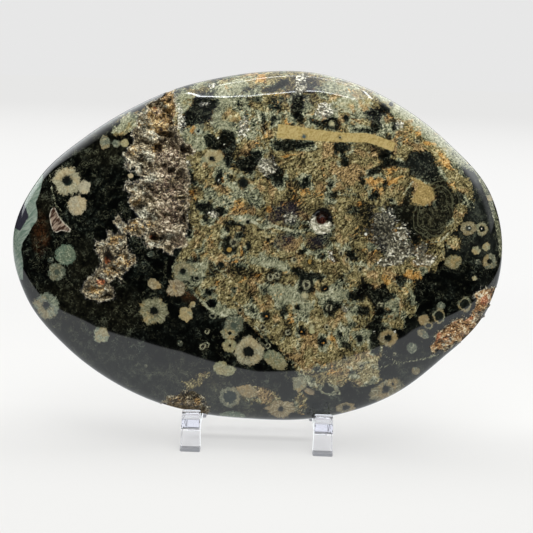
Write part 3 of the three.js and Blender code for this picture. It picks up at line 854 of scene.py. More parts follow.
PINK_WASH = [
    (348, 172, 20, 12, 0, 1.0), (336, 146, 14, 6, 0, 0.7), (366, 150, 14, 8, 0, 0.6),
    (300, 216, 22, 8, 0, 0.4), (236, 212, 16, 6, 0, 0.5), (270, 244, 26, 8, 10, 0.45),
    (330, 186, 20, 8, 0, 0.6), (345, 112, 16, 8, 0, 0.4), (214, 292, 14, 10, 30, 0.5),
    (206, 258, 10, 6, 30, 0.7), (300, 360, 20, 10, 20, 0.4), (320, 92, 10, 8, 0, 0.3)]
OLIVE_WASH = [                      # a brown-olive tint over the black
    (85, 262, 22, 20, 0, 0.4), (80, 300, 36, 16, 0, 0.5), (42, 218, 8, 22, 10, 0.5),
    (110, 152, 24, 14, 0, 0.4), (118, 312, 22, 20, 0, 0.4), (60, 320, 20, 12, 0, 0.3),
    (206, 388, 16, 12, 0, 1.5), (250, 408, 18, 8, 0, 0.8), (440, 212, 20, 22, 0, 0.9),
    (190, 290, 8, 9, 0, 1.0), (426, 186, 10, 12, 0, 0.5), (180, 380, 20, 20, 0, 0.3),
    (432, 212, 24, 34, 5, 1.4), (96, 130, 16, 10, -30, 0.4)]
SPARKLE_WASH = [                    # white and grey druse on the face
    (396, 256, 12, 9, 0, 1.0), (384, 262, 8, 5, 0, 0.9), (424, 260, 12, 6, 0, 1.0),
    (384, 224, 15, 20, 0, 0.72), (400, 250, 18, 12, 0, 0.85), (388, 238, 16, 14, 0, 0.7),
    (402, 234, 14, 12, 0, 0.6), (378, 220, 10, 8, 0, 0.5),
    (386, 216, 5, 6, 0, 0.9), (366, 232, 8, 6, 0, 0.5), (267, 166, 10, 9, 0, 1.0),
    (243, 128, 7, 12, 10, 0.7), (290, 217, 9, 6, 0, 0.8), (324, 111, 12, 10, 0, 0.7),
    (301, 83, 6, 10, 0, 0.9), (212, 86, 5, 5, 0, 0.6), (213, 214, 6, 4, 0, 0.8),
    (399, 124, 6, 6, 0, 0.6), (347, 84, 10, 6, 0, 0.3), (420, 250, 10, 8, 0, 0.6),
    (186, 212, 6, 10, 0, 0.5), (345, 309, 5, 5, 0, 0.7), (181, 122, 6, 20, -8, 0.62),
    (188, 164, 5, 10, 0, 0.6), (188, 190, 5, 12, 0, 0.5),
    (332, 257, 2.4, 6, -25, 0.9), (204, 104, 7, 3, 0, 0.6)]
VIOLET_WASH = [
    (286, 214, 16, 9, -10, 1.0), (284, 242, 9, 7, 0, 0.8), (316, 240, 8, 8, 0, 0.5),
    (24, 214, 5, 12, 0, 0.8), (378, 116, 12, 8, 10, 0.6), (300, 92, 20, 14, 0, 0.6),
    (206, 112, 14, 14, 0, 0.6), (248, 206, 8, 3, 0, 0.4)]
RUST_WASH = [(190, 288, 9, 10, 0, 0.9), (40, 234, 6, 16, 0, 0.6), (100, 283, 4, 4, 0, 0.8)]

# The yellow band: its middle line, its length and half its width.
YELLOW_BAND = [(277, 131), (302, 133.5), (325, 136), (345, 137.5), (366, 137.7), (378, 140.8),
               (394.5, 147.5)]
YELLOW_LENGTH = 118
YELLOW_HALF_WIDTH = 7.2                 # at its left-hand end
YELLOW_NARROWS = 0.36                   # the share of its width that it loses to the right
YELLOW_PATCH = [
    (408, 177), (415, 178), (423, 182), (431, 187), (434, 192), (434, 199), (428, 203), (425, 206),
    (418, 204), (412, 202), (414, 196), (417, 190), (419, 185), (413, 181)]

# Pale veins: their lines and half their width.
VEINS = [
    ([(240, 217), (248, 220), (255, 223), (262, 228), (268, 226), (274, 226), (282, 229), (290, 230),
      (299, 231), (310, 229), (318, 234)], 1.5),
    ([(196, 295), (204, 304), (214, 312), (228, 316), (240, 320)], 1.1),
    ([(255, 326), (264, 336), (270, 346)], 0.9),
    ([(304, 380), (312, 384), (320, 386), (328, 394), (340, 394), (336, 386), (326, 384)], 1.0),
    ([(380, 350), (386, 357), (394, 360), (398, 363), (410, 362), (424, 359), (438, 355)], 0.6),
    ([(380, 368), (386, 366), (398, 363)], 0.6),
    ([(400, 103), (420, 114), (438, 127), (455, 143), (468, 158), (477, 172)], 2.0),
    ([(477, 172), (484, 186), (490, 200), (496, 220), (500, 238), (501, 256)], 2.0),
    ([(50, 176), (52, 190), (56, 204), (61, 212)], 0.6),
    ([(58, 216), (64, 224), (70, 230)], 1.3),
    ([(418, 242), (428, 244), (440, 241), (449, 233)], 0.6),
    ([(196, 262), (206, 267), (216, 276)], 0.5), ([(431, 180), (438, 175), (444, 175)], 0.5),
    ([(233, 302), (242, 306), (249, 312), (256, 316)], 0.5), ([(258, 338), (264, 345), (270, 350)], 0.6),
    ([(282, 353), (292, 361), (300, 368), (306, 378)], 0.5),
    ([(374, 248), (380, 244), (390, 247), (404, 243), (414, 246)], 0.6),
    ([(303, 222), (312, 223), (320, 227), (329, 232), (334, 226)], 1.7),
    ([(374, 94), (392, 103), (398, 108)], 1.2),
    ([(404, 194), (412, 182), (424, 176), (436, 180)], 0.6),
    ([(264, 142), (270, 158)], 0.6), ([(288, 98), (292, 118)], 0.5), ([(256, 110), (266, 134)], 0.7)]

# The olive oval on the right, with contours like an onion's: across, down, half width, half
# height, turn.
ONION = (437, 212, 22, 32, 8)

# Sage rim at the stone's left-hand edge, and the violet-grey patch on it.
SAGE_RIM = [(43, 174), (42.5, 180), (40.5, 190), (37.5, 198), (35.5, 203), (37.5, 212), (37, 220),
            (32, 227), (29, 233), (25, 239), (22.5, 243), (21, 250), (23, 262), (23, 280), (8, 276),
            (6, 220), (20, 190), (40, 168)]
VIOLET_PATCH = [(24, 201), (26, 209), (29, 217), (24, 224), (20, 231), (14, 228), (16, 205)]

# A triangular chip with ribs, on the left.
CHIP = [(54.5, 206.5), (50.5, 210), (49.3, 216), (50.3, 223), (52.5, 230), (56, 233), (61, 230.5),
         (70, 232.3), (70.8, 229), (64, 223), (58.5, 215.5)]

# Orbs: across, down, half width, half height, turn, look.
ORBS = [
    (67.5, 181, 14, 13.5, 0, "cream_ring"), (84.5, 187, 6.4, 6.6, 0, "cream"),
    (77, 205, 9.4, 9.4, 0, "cream"),
    (65.5, 254.8, 10.2, 10.4, 0, "sage_disc"),
    (56.6, 272.4, 8.6, 9, 0, "grey_disc"), (50.5, 260, 3, 3, 0, "dim_disc"),
    (46.4, 306, 11.5, 13.7, -15, "green_rays"), (101, 334.5, 8, 7.4, 60, "sage_soft"),
    (154, 310.7, 13.7, 13.7, 0, "olive_ring"), (186, 314, 6.6, 7.4, 20, "sage_rough"),
    (193, 304, 3, 3, 0, "sage_rough"), (154, 284, 7, 5, 30, "tan_solid"),
    (176, 288, 9, 9, 0, "pink_rays"), (183, 272, 9.5, 9.5, 0, "green_ring"),
    (197, 278, 3.6, 3, 0, "dark_eye"), (233.6, 325.4, 9.6, 9.2, 0, "grey_disc"),
    (230, 333, 8, 6, 0, "olive_ring"),
    (248.6, 351.6, 14.3, 13.6, 0, "cream_ring"), (229.8, 345.8, 7, 6.5, 0, "sage_solid"),
    (275, 360, 13, 7.4, 35, "leaf"), (221, 368, 7.5, 7, 0, "sage_solid"),
    (229, 371, 7, 5, -20, "sage_solid"), (230, 397, 10.5, 10.5, 0, "grey_ring"),
    (247, 391, 11, 6, 10, "tan_solid"), (299, 384, 7, 7.5, 0, "sage_rays"),
    (281, 409, 14, 8.5, 0, "tan_rays"), (232, 416, 13, 5, 0, "sage_disc"),
    (345.7, 407.7, 9.5, 5, -5, "tan_ring"), (328, 389.5, 9, 5, 0, "open_ring"),
    (386, 390, 18, 8, -25, "tan_spotted"), (439, 316, 6, 7.6, 0, "open_ring"),
    (464.8, 304.3, 7.4, 7.4, 0, "open_ring"), (423.7, 319.6, 5.5, 5.5, 0, "tan_solid"),
    (428.5, 325.4, 4.2, 4.2, 0, "open_ring"), (489.7, 261.6, 7, 7.5, 0, "dim_ring"),
    (476, 250.4, 4.2, 4.2, 0, "sage_rough"), (486.5, 247, 3.8, 4.8, 20, "sage_rough"),
    (474.4, 278.2, 2.6, 2.6, 0, "sage_rough"), (468.5, 228, 8, 6.6, 0, "tan_ring"),
    (482, 228.7, 6, 6.6, 0, "sage_ring"), (453.4, 261.6, 8.5, 7, 0, "olive_solid"),
    (391, 104, 4.4, 4.4, 0, "sage_ring"),
    (213, 159, 10, 8.4, 20, "sage_arc"),
    (388, 338, 9.5, 8, 0, "tan_ring"), (412, 348, 5, 6, 0, "sage_faint"),
    (423, 334, 6, 4, 40, "sage_faint"), (441, 306, 4, 4, 0, "sage_faint"),
    (130.5, 175.7, 2.8, 2.8, 0, "cream"), (124.5, 143, 3.8, 4.2, 0, "sage_solid"),
    (116, 143.5, 3.6, 4, 0, "sage_faint"), (105, 142, 5, 7, 0, "sage_faint"),
    (151, 254, 4, 3, 0, "dim_disc"), (92, 372, 3, 3, 0, "dim_disc"),
    (206, 345, 4, 3, 0, "open_ring"), (202, 347, 3, 3, 0, "open_ring"), (146, 366, 2, 2, 0, "dim_disc"),
    (415, 386, 4, 3, 0, "tan_solid"), (478, 262, 3, 3, 0, "dim_disc"), (490, 198, 4, 3, 40, "cream"),
    (310, 392, 6, 3, 20, "pink_rays"), (213, 316, 4, 3, 0, "dark_eye"), (240, 310, 3, 3, 0, "dark_eye"),
    (180, 343, 3, 3, 0, "dim_disc"), (416, 371, 4, 4, 0, "sage_faint")]

# Looks of orbs: body colour, core colour, core's share of the radius, how much it is rayed.
ORB_LOOKS = {
    "cream_ring": ((136, 132, 107), (22, 34, 30), 0.34, 0.6),
    "cream": ((144, 138, 115), (158, 152, 126), 0.0, 0.6),
    "sage_disc": ((80, 96, 80), (84, 100, 84), 0.0, 0.1),
    "grey_disc": ((72, 79, 66), (58, 66, 56), 0.36, 0.25),
    "dim_disc": ((40, 48, 42), (40, 48, 42), 0.0, 0.1),
    "green_rays": ((98, 107, 93), (40, 54, 44), 0.3, 0.7),
    "olive_ring": ((100, 99, 74), (14, 17, 13), 0.30, 0.9),
    "sage_solid": ((116, 116, 86), (128, 127, 94), 0.0, 0.45),
    "tan_solid": ((116, 104, 76), (128, 114, 84), 0.0, 0.6),
    "pink_rays": ((111, 98, 75), (96, 84, 66), 0.2, 0.9),
    "green_ring": ((93, 96, 76), (38, 46, 38), 0.3, 0.4),
    "dark_eye": ((74, 77, 62), (10, 13, 10), 0.6, 0.4),
    "leaf": ((88, 95, 74), (60, 66, 48), 0.0, 0.5),
    "grey_ring": ((93, 96, 80), (36, 44, 42), 0.62, 0.3),
    "sage_rays": ((107, 106, 84), (104, 104, 86), 0.4, 0.9),
    "tan_rays": ((124, 109, 78), (70, 68, 58), 0.22, 0.9),
    "tan_ring": ((113, 103, 75), (40, 44, 40), 0.42, 0.6),
    "open_ring": ((92, 96, 76), (18, 22, 18), 0.70, 0.75),
    "sage_ring": ((106, 107, 84), (12, 15, 12), 0.50, 0.5),
    "dim_ring": ((90, 93, 76), (12, 15, 12), 0.36, 0.9),
    "sage_arc": ((116, 118, 92), (14, 17, 13), 0.3, 0.7),
    "sage_rough": ((118, 118, 92), (118, 118, 92), 0.0, 0.9),
    "sage_soft": ((112, 120, 102), (112, 120, 102), 0.0, 0.7),
    "tan_spotted": ((102, 96, 71), (56, 56, 46), 0.3, 0.8),
    "olive_solid": ((98, 92, 62), (98, 92, 62), 0.0, 0.7),
    "sage_faint": ((71, 78, 66), (78, 86, 72), 0.0, 0.6)}

# Small eyes by their looks, drawn over the orbs: across, down, radius.
EYES = {
    "black_core": [(248.6, 351.6, 5.6)],
    "white_dot": [
        (248.6, 351.2, 1.6), (198.5, 131.5, 1.2), (395, 331.5, 1.2), (374, 331.5, 1),
        (469.3, 228, 1.0), (481.7, 228.7, 1.0), (218, 138, 1.2), (224, 144, 1.0), (366, 234, 1.6),
        (218.5, 180, 1.2)],
    "dark_core": [
        (183, 271, 3), (211.5, 158.5, 2.6), (346, 117.5, 3), (243, 183, 4.6), (249, 246, 2.2),
        (464.8, 304.3, 3.6), (345.7, 407.7, 3), (281, 408.5, 2.6), (230, 345.8, 1.6),
        (67, 180, 4.6), (154, 311, 4.4), (46, 305, 3.6), (210, 96, 2), (268, 240, 1.8),
        (183, 198, 2), (221, 264.5, 3), (272, 124, 1.8), (326, 385, 3.4), (388, 338, 3.4),
        (360, 339, 3.4), (386, 389, 3.6), (393, 384, 1.6), (218, 180, 2), (248, 222, 2.4)],
    "pale_ring": [(198.3, 131.3, 4.0)],
    "crumb": [(332, 124, 3.6), (312, 327, 3.2), (304.6, 295.8, 4.2)],
    "white_ring": [
        (234, 242.5, 4.4), (294, 260, 3.2), (341, 253, 3), (347, 259.5, 3), (360, 269.5, 2.6),
        (306.5, 284.5, 4.6), (380, 304.5, 3), (327, 327, 3), (270.6, 277.5, 3.6),
        (277, 275.6, 3.6), (329, 307.5, 3.6), (288, 332.5, 3), (263, 327.5, 3.4), (345, 358, 2.6),
        (361, 366, 3), (394.5, 354, 1.8), (268, 346, 2.6), (207, 331.5, 2.6), (203, 346.5, 3.4),
        (340, 137.5, 1.8), (417, 141.5, 2.6)],
    "amber_eye": [(229, 250, 4.2), (310, 262, 4.6)],
    "orange_eye": [(325, 288.7, 3.6), (301.5, 331, 3.8), (266.5, 316.4, 3.8), (322.8, 342.7, 4)],
    "blue_core": [(304, 136.5, 2.2)],
    "sage_blob": [(312, 331, 3.0)]}

# Looks of eyes: ring colour, colour inside, share of the radius that is inside.
EYE_LOOKS = {
    "black_core": ((16, 18, 15), (16, 18, 15), 0.9),
    "dark_core": ((30, 34, 28), (12, 14, 11), 0.75),
    "white_ring": ((138, 136, 110), (34, 34, 26), 0.58),
    "crumb": ((120, 118, 92), (150, 144, 112), 0.6),
    "pale_ring": ((142, 148, 128), (30, 36, 32), 0.5),
    "white_dot": ((186, 186, 172), (196, 196, 182), 0.9),
    "amber_eye": ((22, 24, 18), (128, 104, 52), 0.55),
    "orange_eye": ((10, 12, 9), (156, 112, 54), 0.26),
    "sage_blob": ((144, 142, 104), (144, 142, 104), 0.9),
    "blue_core": ((96, 96, 74), (52, 66, 72), 0.7)}


NO_PATCH = -20.0        # the depth inside an area, in pixels, of a point far from all of them
FAR_AWAY = 9.0          # the distance to an orb or an eye, in its sizes, of a point far from all


def ellipse(x, y, place):
    """Distance from an ellipse's middle as a share of its size, and the place within it.

    It is turned clockwise by its fifth number, in degrees.
    """
    cx, cy, half_x, half_y, turn = place[:5]
    c, s = math.cos(math.radians(turn)), math.sin(math.radians(turn))
    a = ((x - cx) * c + (y - cy) * s) / half_x
    b = ((y - cy) * c - (x - cx) * s) / half_y
    return np.hypot(a, b), a, b


def ellipse_depth(x, y, place):
    """How deep a point lies in an ellipse, in pixels, negative outside it."""
    far, _, _ = ellipse(x, y, place)
    return (1 - far) * min(place[2], place[3])


def vein_depth(x, y, vein):
    """How deep a point lies in a vein, which is a line and half a width."""
    line, half = vein
    far, _ = line_distance(x, y, line)
    return half - far


def depth_in(x, y, places, depth, start=NO_PATCH):
    """How deep each point lies in the one of the places that it lies deepest in."""
    best = np.broadcast_to(start, x.shape)
    for place in places:
        best = np.maximum(best, depth(x, y, place))
    return best


def band_depth(x, y):
    """How deep each point lies in the yellow band, which narrows to the right."""
    from_band, along = line_distance(x, y, YELLOW_BAND)
    ends = np.minimum(along * YELLOW_LENGTH, (1 - along) * YELLOW_LENGTH)
    depth = YELLOW_HALF_WIDTH * (1 - YELLOW_NARROWS * np.minimum(2.2 * along, 1)) - from_band
    return np.minimum(depth, np.where(ends > 0, ends * 2 - 0.3, -2.0))


def wash(x, y, places):
    """The strength of a set of soft washes, from 0 to 1."""
    total = np.zeros(x.shape)
    for place in places:
        far, _, _ = ellipse(x, y, place)
        total = np.maximum(total, place[5] * np.clip(1.3 - 0.8 * far, 0, 1))
    return total


def signed_wash(x, y, places):
    """The sum of a set of soft washes that lighten or darken."""
    total = np.zeros(x.shape)
    for place in places:
        far, _, _ = ellipse(x, y, place)
        total = total + place[5] * smooth(1.4 - far, 0.0, 0.9)
    return total


SEED_STEP = 0.37        # from one orb's seed to the next; seeds stay between 0 and 1


def keep_nearest(far, facts, best, kept):
    """Takes over a marking's facts wherever it is nearer than the best so far."""
    here = far < best
    for m, fact in enumerate(facts):
        kept[m] = np.where(here, fact, kept[m])
    return np.where(here, far, best)


def nearest_orbs(x, y, orbs):
    """Distance to the nearest orb, and its colours, core's share, rays, seed and place within it."""
    best = np.full(x.shape, FAR_AWAY)
    kept = np.zeros((11,) + x.shape)
    for n, orb in enumerate(orbs):
        far, a, b = ellipse(x, y, orb)
        body, core, core_share, rays = ORB_LOOKS[orb[5]]
        facts = (*colour(*body)[:3], *colour(*core)[:3], core_share, rays, (n * SEED_STEP) % 1, a, b)
        best = keep_nearest(far, facts, best, kept)
    return best, kept


def nearest_eyes(x, y):
    """Distance to the nearest eye, and its ring's colour, colour inside and share inside."""
    best = np.full(x.shape, FAR_AWAY)
    kept = np.zeros((7,) + x.shape)
    for look, places in EYES.items():
        ring, inside, share = EYE_LOOKS[look]
        facts = (*colour(*ring)[:3], *colour(*inside)[:3], share)
        for cx, cy, radius in places:
            best = keep_nearest(np.hypot(x - cx, y - cy) / radius, facts, best, kept)
    return best, kept


# ---------------------------------------------------------------- the markings at the skin's points

BACK_STARTS, BACK_FULL = 1.0, 7.0       # depth behind the rim where the back's own markings take over
FRONT_ENDS = (0.5, 3.5)                 # depth behind the rim where the front's orbs and eyes end
BACK_ENDS = (-5.0, -2.5)                # height over the rim where the back's orbs end
BACK_ORBS = 70
BACK_SEED = 20
BACK_REACH = 0.88       # the share of the back's area, from its middle, that the orbs lie on
BACK_SIZES, BACK_SHARES = [1.4, 2.2, 3.2, 4.4, 5.6], [0.28, 0.26, 0.2, 0.16, 0.1]
BACK_LOOKS = ["cream_ring", "cream", "sage_disc", "grey_disc", "olive_ring", "sage_solid",
              "tan_solid", "green_ring", "dark_eye", "grey_ring", "sage_rays", "tan_ring",
              "open_ring", "sage_ring"]


def back_orbs():
    """Orbs scattered over the back, none on another, with places in the face's axes."""
    draw = np.random.default_rng(BACK_SEED)
    orbs = []
    while len(orbs) < BACK_ORBS:
        angle, reach = draw.uniform(0, 2 * math.pi), math.sqrt(draw.uniform(0, BACK_REACH))
        size = draw.choice(BACK_SIZES, p=BACK_SHARES)
        stretch, turn, look = draw.uniform(0.8, 1.1), draw.uniform(0, 180), draw.choice(BACK_LOOKS)
        radius = float(outline_radius(np.array(angle))) * reach
        x, y = radius * math.cos(angle), radius * math.sin(angle)
        if all(math.hypot(x - o[0], y - o[1]) > 0.9 * (size + o[2]) for o in orbs):
            orbs.append((x, y, size, size * stretch, turn, str(look)))
    return orbs


WIDE_WANDER = (7, 16, 101, 3)           # how far, the noise's size, its seed and its layers
FINE_WANDER = (3.2, 7, 303, 2)
WANDER_SEEDS = 101                      # from the seed for across to the seed for down
PATCH_SHARE, LINE_SHARE, ORB_SHARE = 0.6, 0.5, 0.3      # of the fine wander, for those markings


def wandered(seen, far, size, seed, count):
    """Places in the picture, across and down, moved about by noise."""
    shift = [layers(*seen, size, s, count) for s in (seed, seed + WANDER_SEEDS)]
    return seen + far * np.stack(shift)


def front_markings(seen, fine):
    """The front's markings at places in the picture, in pixels or as shares."""
    # Edges wander by a few pixels, so the measured outlines don't show as straight cuts.
    wide = wandered(seen, *WIDE_WANDER)
    near = seen + PATCH_SHARE * (fine - seen)
    nearer = seen + LINE_SHARE * (fine - seen)
    blot = depth_in(*fine, BLOTS, ellipse_depth)
    blot = depth_in(*near, DARK_PATCHES, outline_distance, blot)
    pale = depth_in(*near, PALE_PATCHES, outline_distance)
    tan = depth_in(*fine, TAN_ISLANDS, ellipse_depth, outline_distance(*wide, TAN_OUTLINE))
    return {
        "tan": np.maximum(tan, np.minimum(pale + 1, 3)), "blot": blot, "pale": pale,
        "dim": depth_in(*near, DIM_PATCHES, outline_distance),
        "vein": depth_in(*nearer, VEINS, vein_depth),
        "band": band_depth(*seen),
        "patch": outline_distance(*nearer, YELLOW_PATCH),
        "onion": ellipse(*wide, ONION)[0],
        "rim_sage": outline_distance(*seen, SAGE_RIM),
        "rim_violet": outline_distance(*seen, VIOLET_PATCH),
        "orange": wash(*wide, ORANGE_WASH), "sage": wash(*wide, SAGE_WASH),
        "pink": wash(*wide, PINK_WASH), "sparkle": wash(*fine, SPARKLE_WASH),
        "olive": wash(*wide, OLIVE_WASH), "violet": wash(*wide, VIOLET_WASH),
        "rust": wash(*wide, RUST_WASH), "tone": signed_wash(*fine, TONE_AND_PAINTED_LIGHT_WASH),
        "smoke": wash(*wide, SMOKE_AND_VEIL_WASH) - wash(*wide, DEEP_WASH)}


def back_markings(u, v, w):
    """The back's markings of the same kinds, out of noise."""
    big = layers(u, v, 60, 11, 3, z=w)
    mid = layers(u, v, 22, 12, 3, z=w)
    olive = smooth(layers(u, v, 30, 17, 3), 0.0, 0.25)
    return {
        "tan": 70 * (big + 0.45 * mid + 0.03),
        "blot": 34 * (layers(u, v, 13, 13, 3) - 0.13),
        "vein": 1.6 - 90 * abs(layers(u, v, 46, 14, 3)),
        "onion": FAR_AWAY, "band": NO_PATCH, "patch": NO_PATCH,
        "rim_sage": NO_PATCH, "rim_violet": NO_PATCH,
        "orange": smooth(layers(u, v, 18, 15, 3), 0.1, 0.3),
        "sage": smooth(mid, 0.02, 0.2),
        "pink": smooth(-mid, 0.05, 0.25),
        "sparkle": smooth(layers(u, v, 15, 16, 2), 0.2, 0.34),
        "olive": olive, "smoke": olive, "rust": 0.0, "tone": 0.0,
        "violet": smooth(layers(u, v, 20, 18, 2), 0.2, 0.35),
        "dim": 26 * (layers(u, v, 16, 19, 3) - 0.15),
        "pale": 26 * (layers(u, v, 17, 21, 3) - 0.17)}


def all_orbs(seen, u, v, w):
    """The orbs of the front, as they are seen, and those of the back, each ending at the rim."""
    far, facts = nearest_orbs(*seen, ORBS)
    far = far + 4 * smooth(-w, *FRONT_ENDS)
    far_back, facts_back = nearest_orbs(u, v, back_orbs())
    far_back = far_back + 4 * smooth(w, *BACK_ENDS)
    behind = far_back < far
    far = np.minimum(np.where(behind, far_back, far), 2.0)
    return far, np.where(behind, facts_back, facts)


def paint(target, points, u, v, w, deepest, hole):
    """Works out the markings at every point of the skin and keeps them for the material."""
    seen = np.stack(seen_at(points))
    fine = wandered(seen, *FINE_WANDER)
    far_side = smooth(-w, BACK_STARTS, BACK_FULL)
    front, back = front_markings(seen, fine), back_markings(u, v, w)
    m = {name: front[name] * (1 - far_side) + back[name] * far_side for name in front}
    chip = outline_distance(*seen, CHIP) + NO_PATCH * far_side

    store(target, "areas", m["tan"], m["blot"], m["band"], deepest)
    store(target, "washes", m["orange"], m["sage"], m["pink"], m["sparkle"])
    store(target, "tints", m["olive"], m["violet"], m["rust"], m["vein"])
    store(target, "edges", m["onion"], m["rim_sage"], m["rim_violet"], hole)
    store(target, "chips", chip, m["dim"], m["pale"], m["patch"])

    far_orb, facts = all_orbs(seen + ORB_SHARE * (fine - seen), u, v, w)
    store(target, "orb", far_orb, *facts[6:9])
    store(target, "orb_body", *facts[0:3])
    store(target, "orb_core", *facts[3:6])
    store(target, "orb_place", *np.clip(facts[9:11], -2, 2))
    far_eye, facts = nearest_eyes(*seen)
    far_eye = np.minimum(far_eye + 4 * smooth(-w, *FRONT_ENDS), 2.0)
    store(target, "eye", far_eye, facts[6], m["smoke"], m["tone"])
    store(target, "eye_ring", *facts[0:3])
    store(target, "eye_inside", *facts[3:6])


# ---------------------------------------------------------------- the stone's material

QUARTZ_IOR = 1.54
FLOW_TURN = math.radians(38)            # the matrix's streaks run down to the right by this
TAN_STOPS = (0.10, 0.27, 0.39, 0.50, 0.61, 0.73, 0.90)
OLIVE_SHADES = shades(
    TAN_STOPS, (9, 9, 6), (32, 30, 19), (60, 54, 34), (92, 84, 54), (122, 112, 75), (154, 145, 106),
    (194, 187, 152))
SAGE_SHADES = shades(
    TAN_STOPS, (5, 7, 6), (27, 31, 25), (58, 63, 50), (94, 96, 75), (126, 127, 101), (155, 155, 129),
    (187, 186, 164))
PINK_SHADES = shades(
    TAN_STOPS, (10, 8, 5), (39, 31, 19), (76, 62, 39), (112, 93, 60), (142, 121, 82), (172, 150, 110),
    (202, 184, 148))
ORANGE_SHADES = shades(
    TAN_STOPS, (12, 8, 4), (48, 34, 15), (92, 64, 28), (136, 96, 42), (160, 118, 58), (180, 146, 88),
    (198, 174, 124))
BLACK_SHADES = [(0.30, (0, 0, 0)), (0.48, (1, 2, 1)), (0.57, (11, 14, 11)), (0.66, (34, 39, 33)),
                (0.80, (72, 77, 64))]
SMOKE_AND_VEIL_SHADES = [(0.20, (6, 7, 6)), (0.45, (26, 29, 26)), (0.60, (44, 48, 42)), (0.80, (70, 74, 64))]
PATCH_SHADES = [(0.15, (84, 68, 34)), (0.42, (120, 102, 60)), (0.60, (148, 128, 82)),
                (0.88, (180, 162, 116))]
LIP_SHADES = [(0.10, (18, 13, 8)), (0.35, (66, 53, 36)), (0.50, (112, 98, 72)), (0.65, (150, 139, 110)),
              (0.90, (196, 190, 166))]
BROWN_SHADES = [(0.30, (8, 8, 5)), (0.47, (30, 29, 19)), (0.60, (56, 54, 37)), (0.80, (90, 87, 62))]
DRUSE_SHADES = [(0.0, (12, 12, 9)), (0.35, (52, 50, 39)), (0.62, (112, 109, 90)),
                (0.82, (170, 167, 146)), (1.0, (222, 219, 202))]


FLOW_SQUEEZE = 0.2
STROKE_SQUEEZE = 0.22
STROKES = [(FLOW_TURN, 0.0), (FLOW_TURN + math.radians(48), 40.0)]     # turn, shift to other noise
RIB_TURN, RIB_SQUEEZE = math.radians(52), 0.25

RUST_STAIN = colour(66, 38, 18)
THREAD_SHADE = colour(98, 100, 78)
CRUMB_SHADE = colour(124, 120, 92)
DEEP_BLACK = colour(2, 3, 2)
VIOLET_ON_TAN, VIOLET_CLOUD = colour(40, 34, 44), colour(34, 31, 38)
BLOT_SPECK = colour(84, 86, 70)
ONION_LINE = colour(100, 101, 76)
BAND_DARK, BAND_PALE = colour(126, 107, 58), colour(154, 137, 88)
BAND_GRAIN, BAND_FLECK = colour(166, 151, 104), colour(104, 84, 44)
RIM_DARK, RIM_PALE, RIM_VIOLET = colour(86, 104, 92), colour(130, 140, 128), colour(40, 40, 48)
ORB_HALO = colour(5, 7, 5)
ORB_LIGHT, ORB_DARK, ORB_WARM = colour(208, 207, 176), colour(34, 36, 28), colour(160, 130, 76)
EYE_HALO = colour(16, 17, 12)
RIB_DARK, RIB_PALE, CHIP_EDGE = colour(48, 32, 24), colour(138, 122, 106), colour(176, 170, 154)
WALL_DARK, WALL_PALE = colour(46, 38, 28), colour(120, 106, 80)
GEODE_BORDER, GEODE_DARK, GEODE_RED = colour(12, 12, 10), colour(16, 8, 6), colour(84, 46, 34)


class Rock(Graph):
    """The jasper's graph, with the stored numbers and the noises that its parts share."""

    def __init__(self):
        super().__init__(bpy.data.materials.new("ocean_jasper"))
        self.tan_far, self.blot_far, self.band_far, self.mouth_far = self.stored("areas")
        self.orange, self.sage, self.pink, self.sparkle = self.stored("washes")
        self.olive, self.violet, self.rust, self.vein_far = self.stored("tints")
        self.onion, self.rim_sage, self.rim_violet, self.hole = self.stored("edges")
        self.eye_far, self.eye_share, self.smoke, self.shade = self.stored("eye")
        self.chip_far, self.dim_far, self.pale_far, self.patch_far = self.stored("chips")

        # Noise at several sizes; the finest is the rock's own grain.
        p = self.p = self.place()
        self.cloud = self.noise(self.warp(p, 5.0, 2.2), 9.0, 5.0, 0.92)
        self.grain = self.noise(p, 0.8, 1.2, 0.8)
        self.fine = self.noise(self.warp(p, 2.2, 0.9), 1.15, 4.0, 0.72, 0.6)
        self.mid = self.noise(self.warp(p, 6.0, 2.0), 4.0, 5.0, 0.62, 0.5)
        self.fine_out, self.mid_out, self.grain_out = (
            self.sub(value, 0.5) for value in (self.fine, self.mid, self.grain))
        hue = self.noise(self.warp(p, 4.0, 2.4), 6.5, 2.5, 0.6, colour=True)
        self.hue_sage, self.hue_pink, self.hue_orange = self.node("SeparateColor", {0: hue}).outputs
        self.flow = self.turned(self.warp(p, 15.0, 6.0), FLOW_TURN, FLOW_SQUEEZE)
        self.streak = self.noise(self.flow, 1.5, 3.0, 0.8)
        self.strokes = [
            self.noise(self.turned(self.warp(p, 5.0, 2.2), turn, STROKE_SQUEEZE, shift), 0.6, 2.0, 0.75)
            for turn, shift in STROKES]
        self.facet = self.cells(self.warp(p, 1.2, 0.7), 0.72)

    def ragged(self, far, mid_share, fine_share, grain_share, low=-0.5, high=0.5):
        """An area's mask: its distance made ragged by noise, then cut between low and high."""
        for value, share in ((self.mid_out, mid_share), (self.fine_out, fine_share),
                             (self.grain_out, grain_share)):
            if share:
                far = self.add(far, self.mul(value, share))
        return self.step(far, low, high)


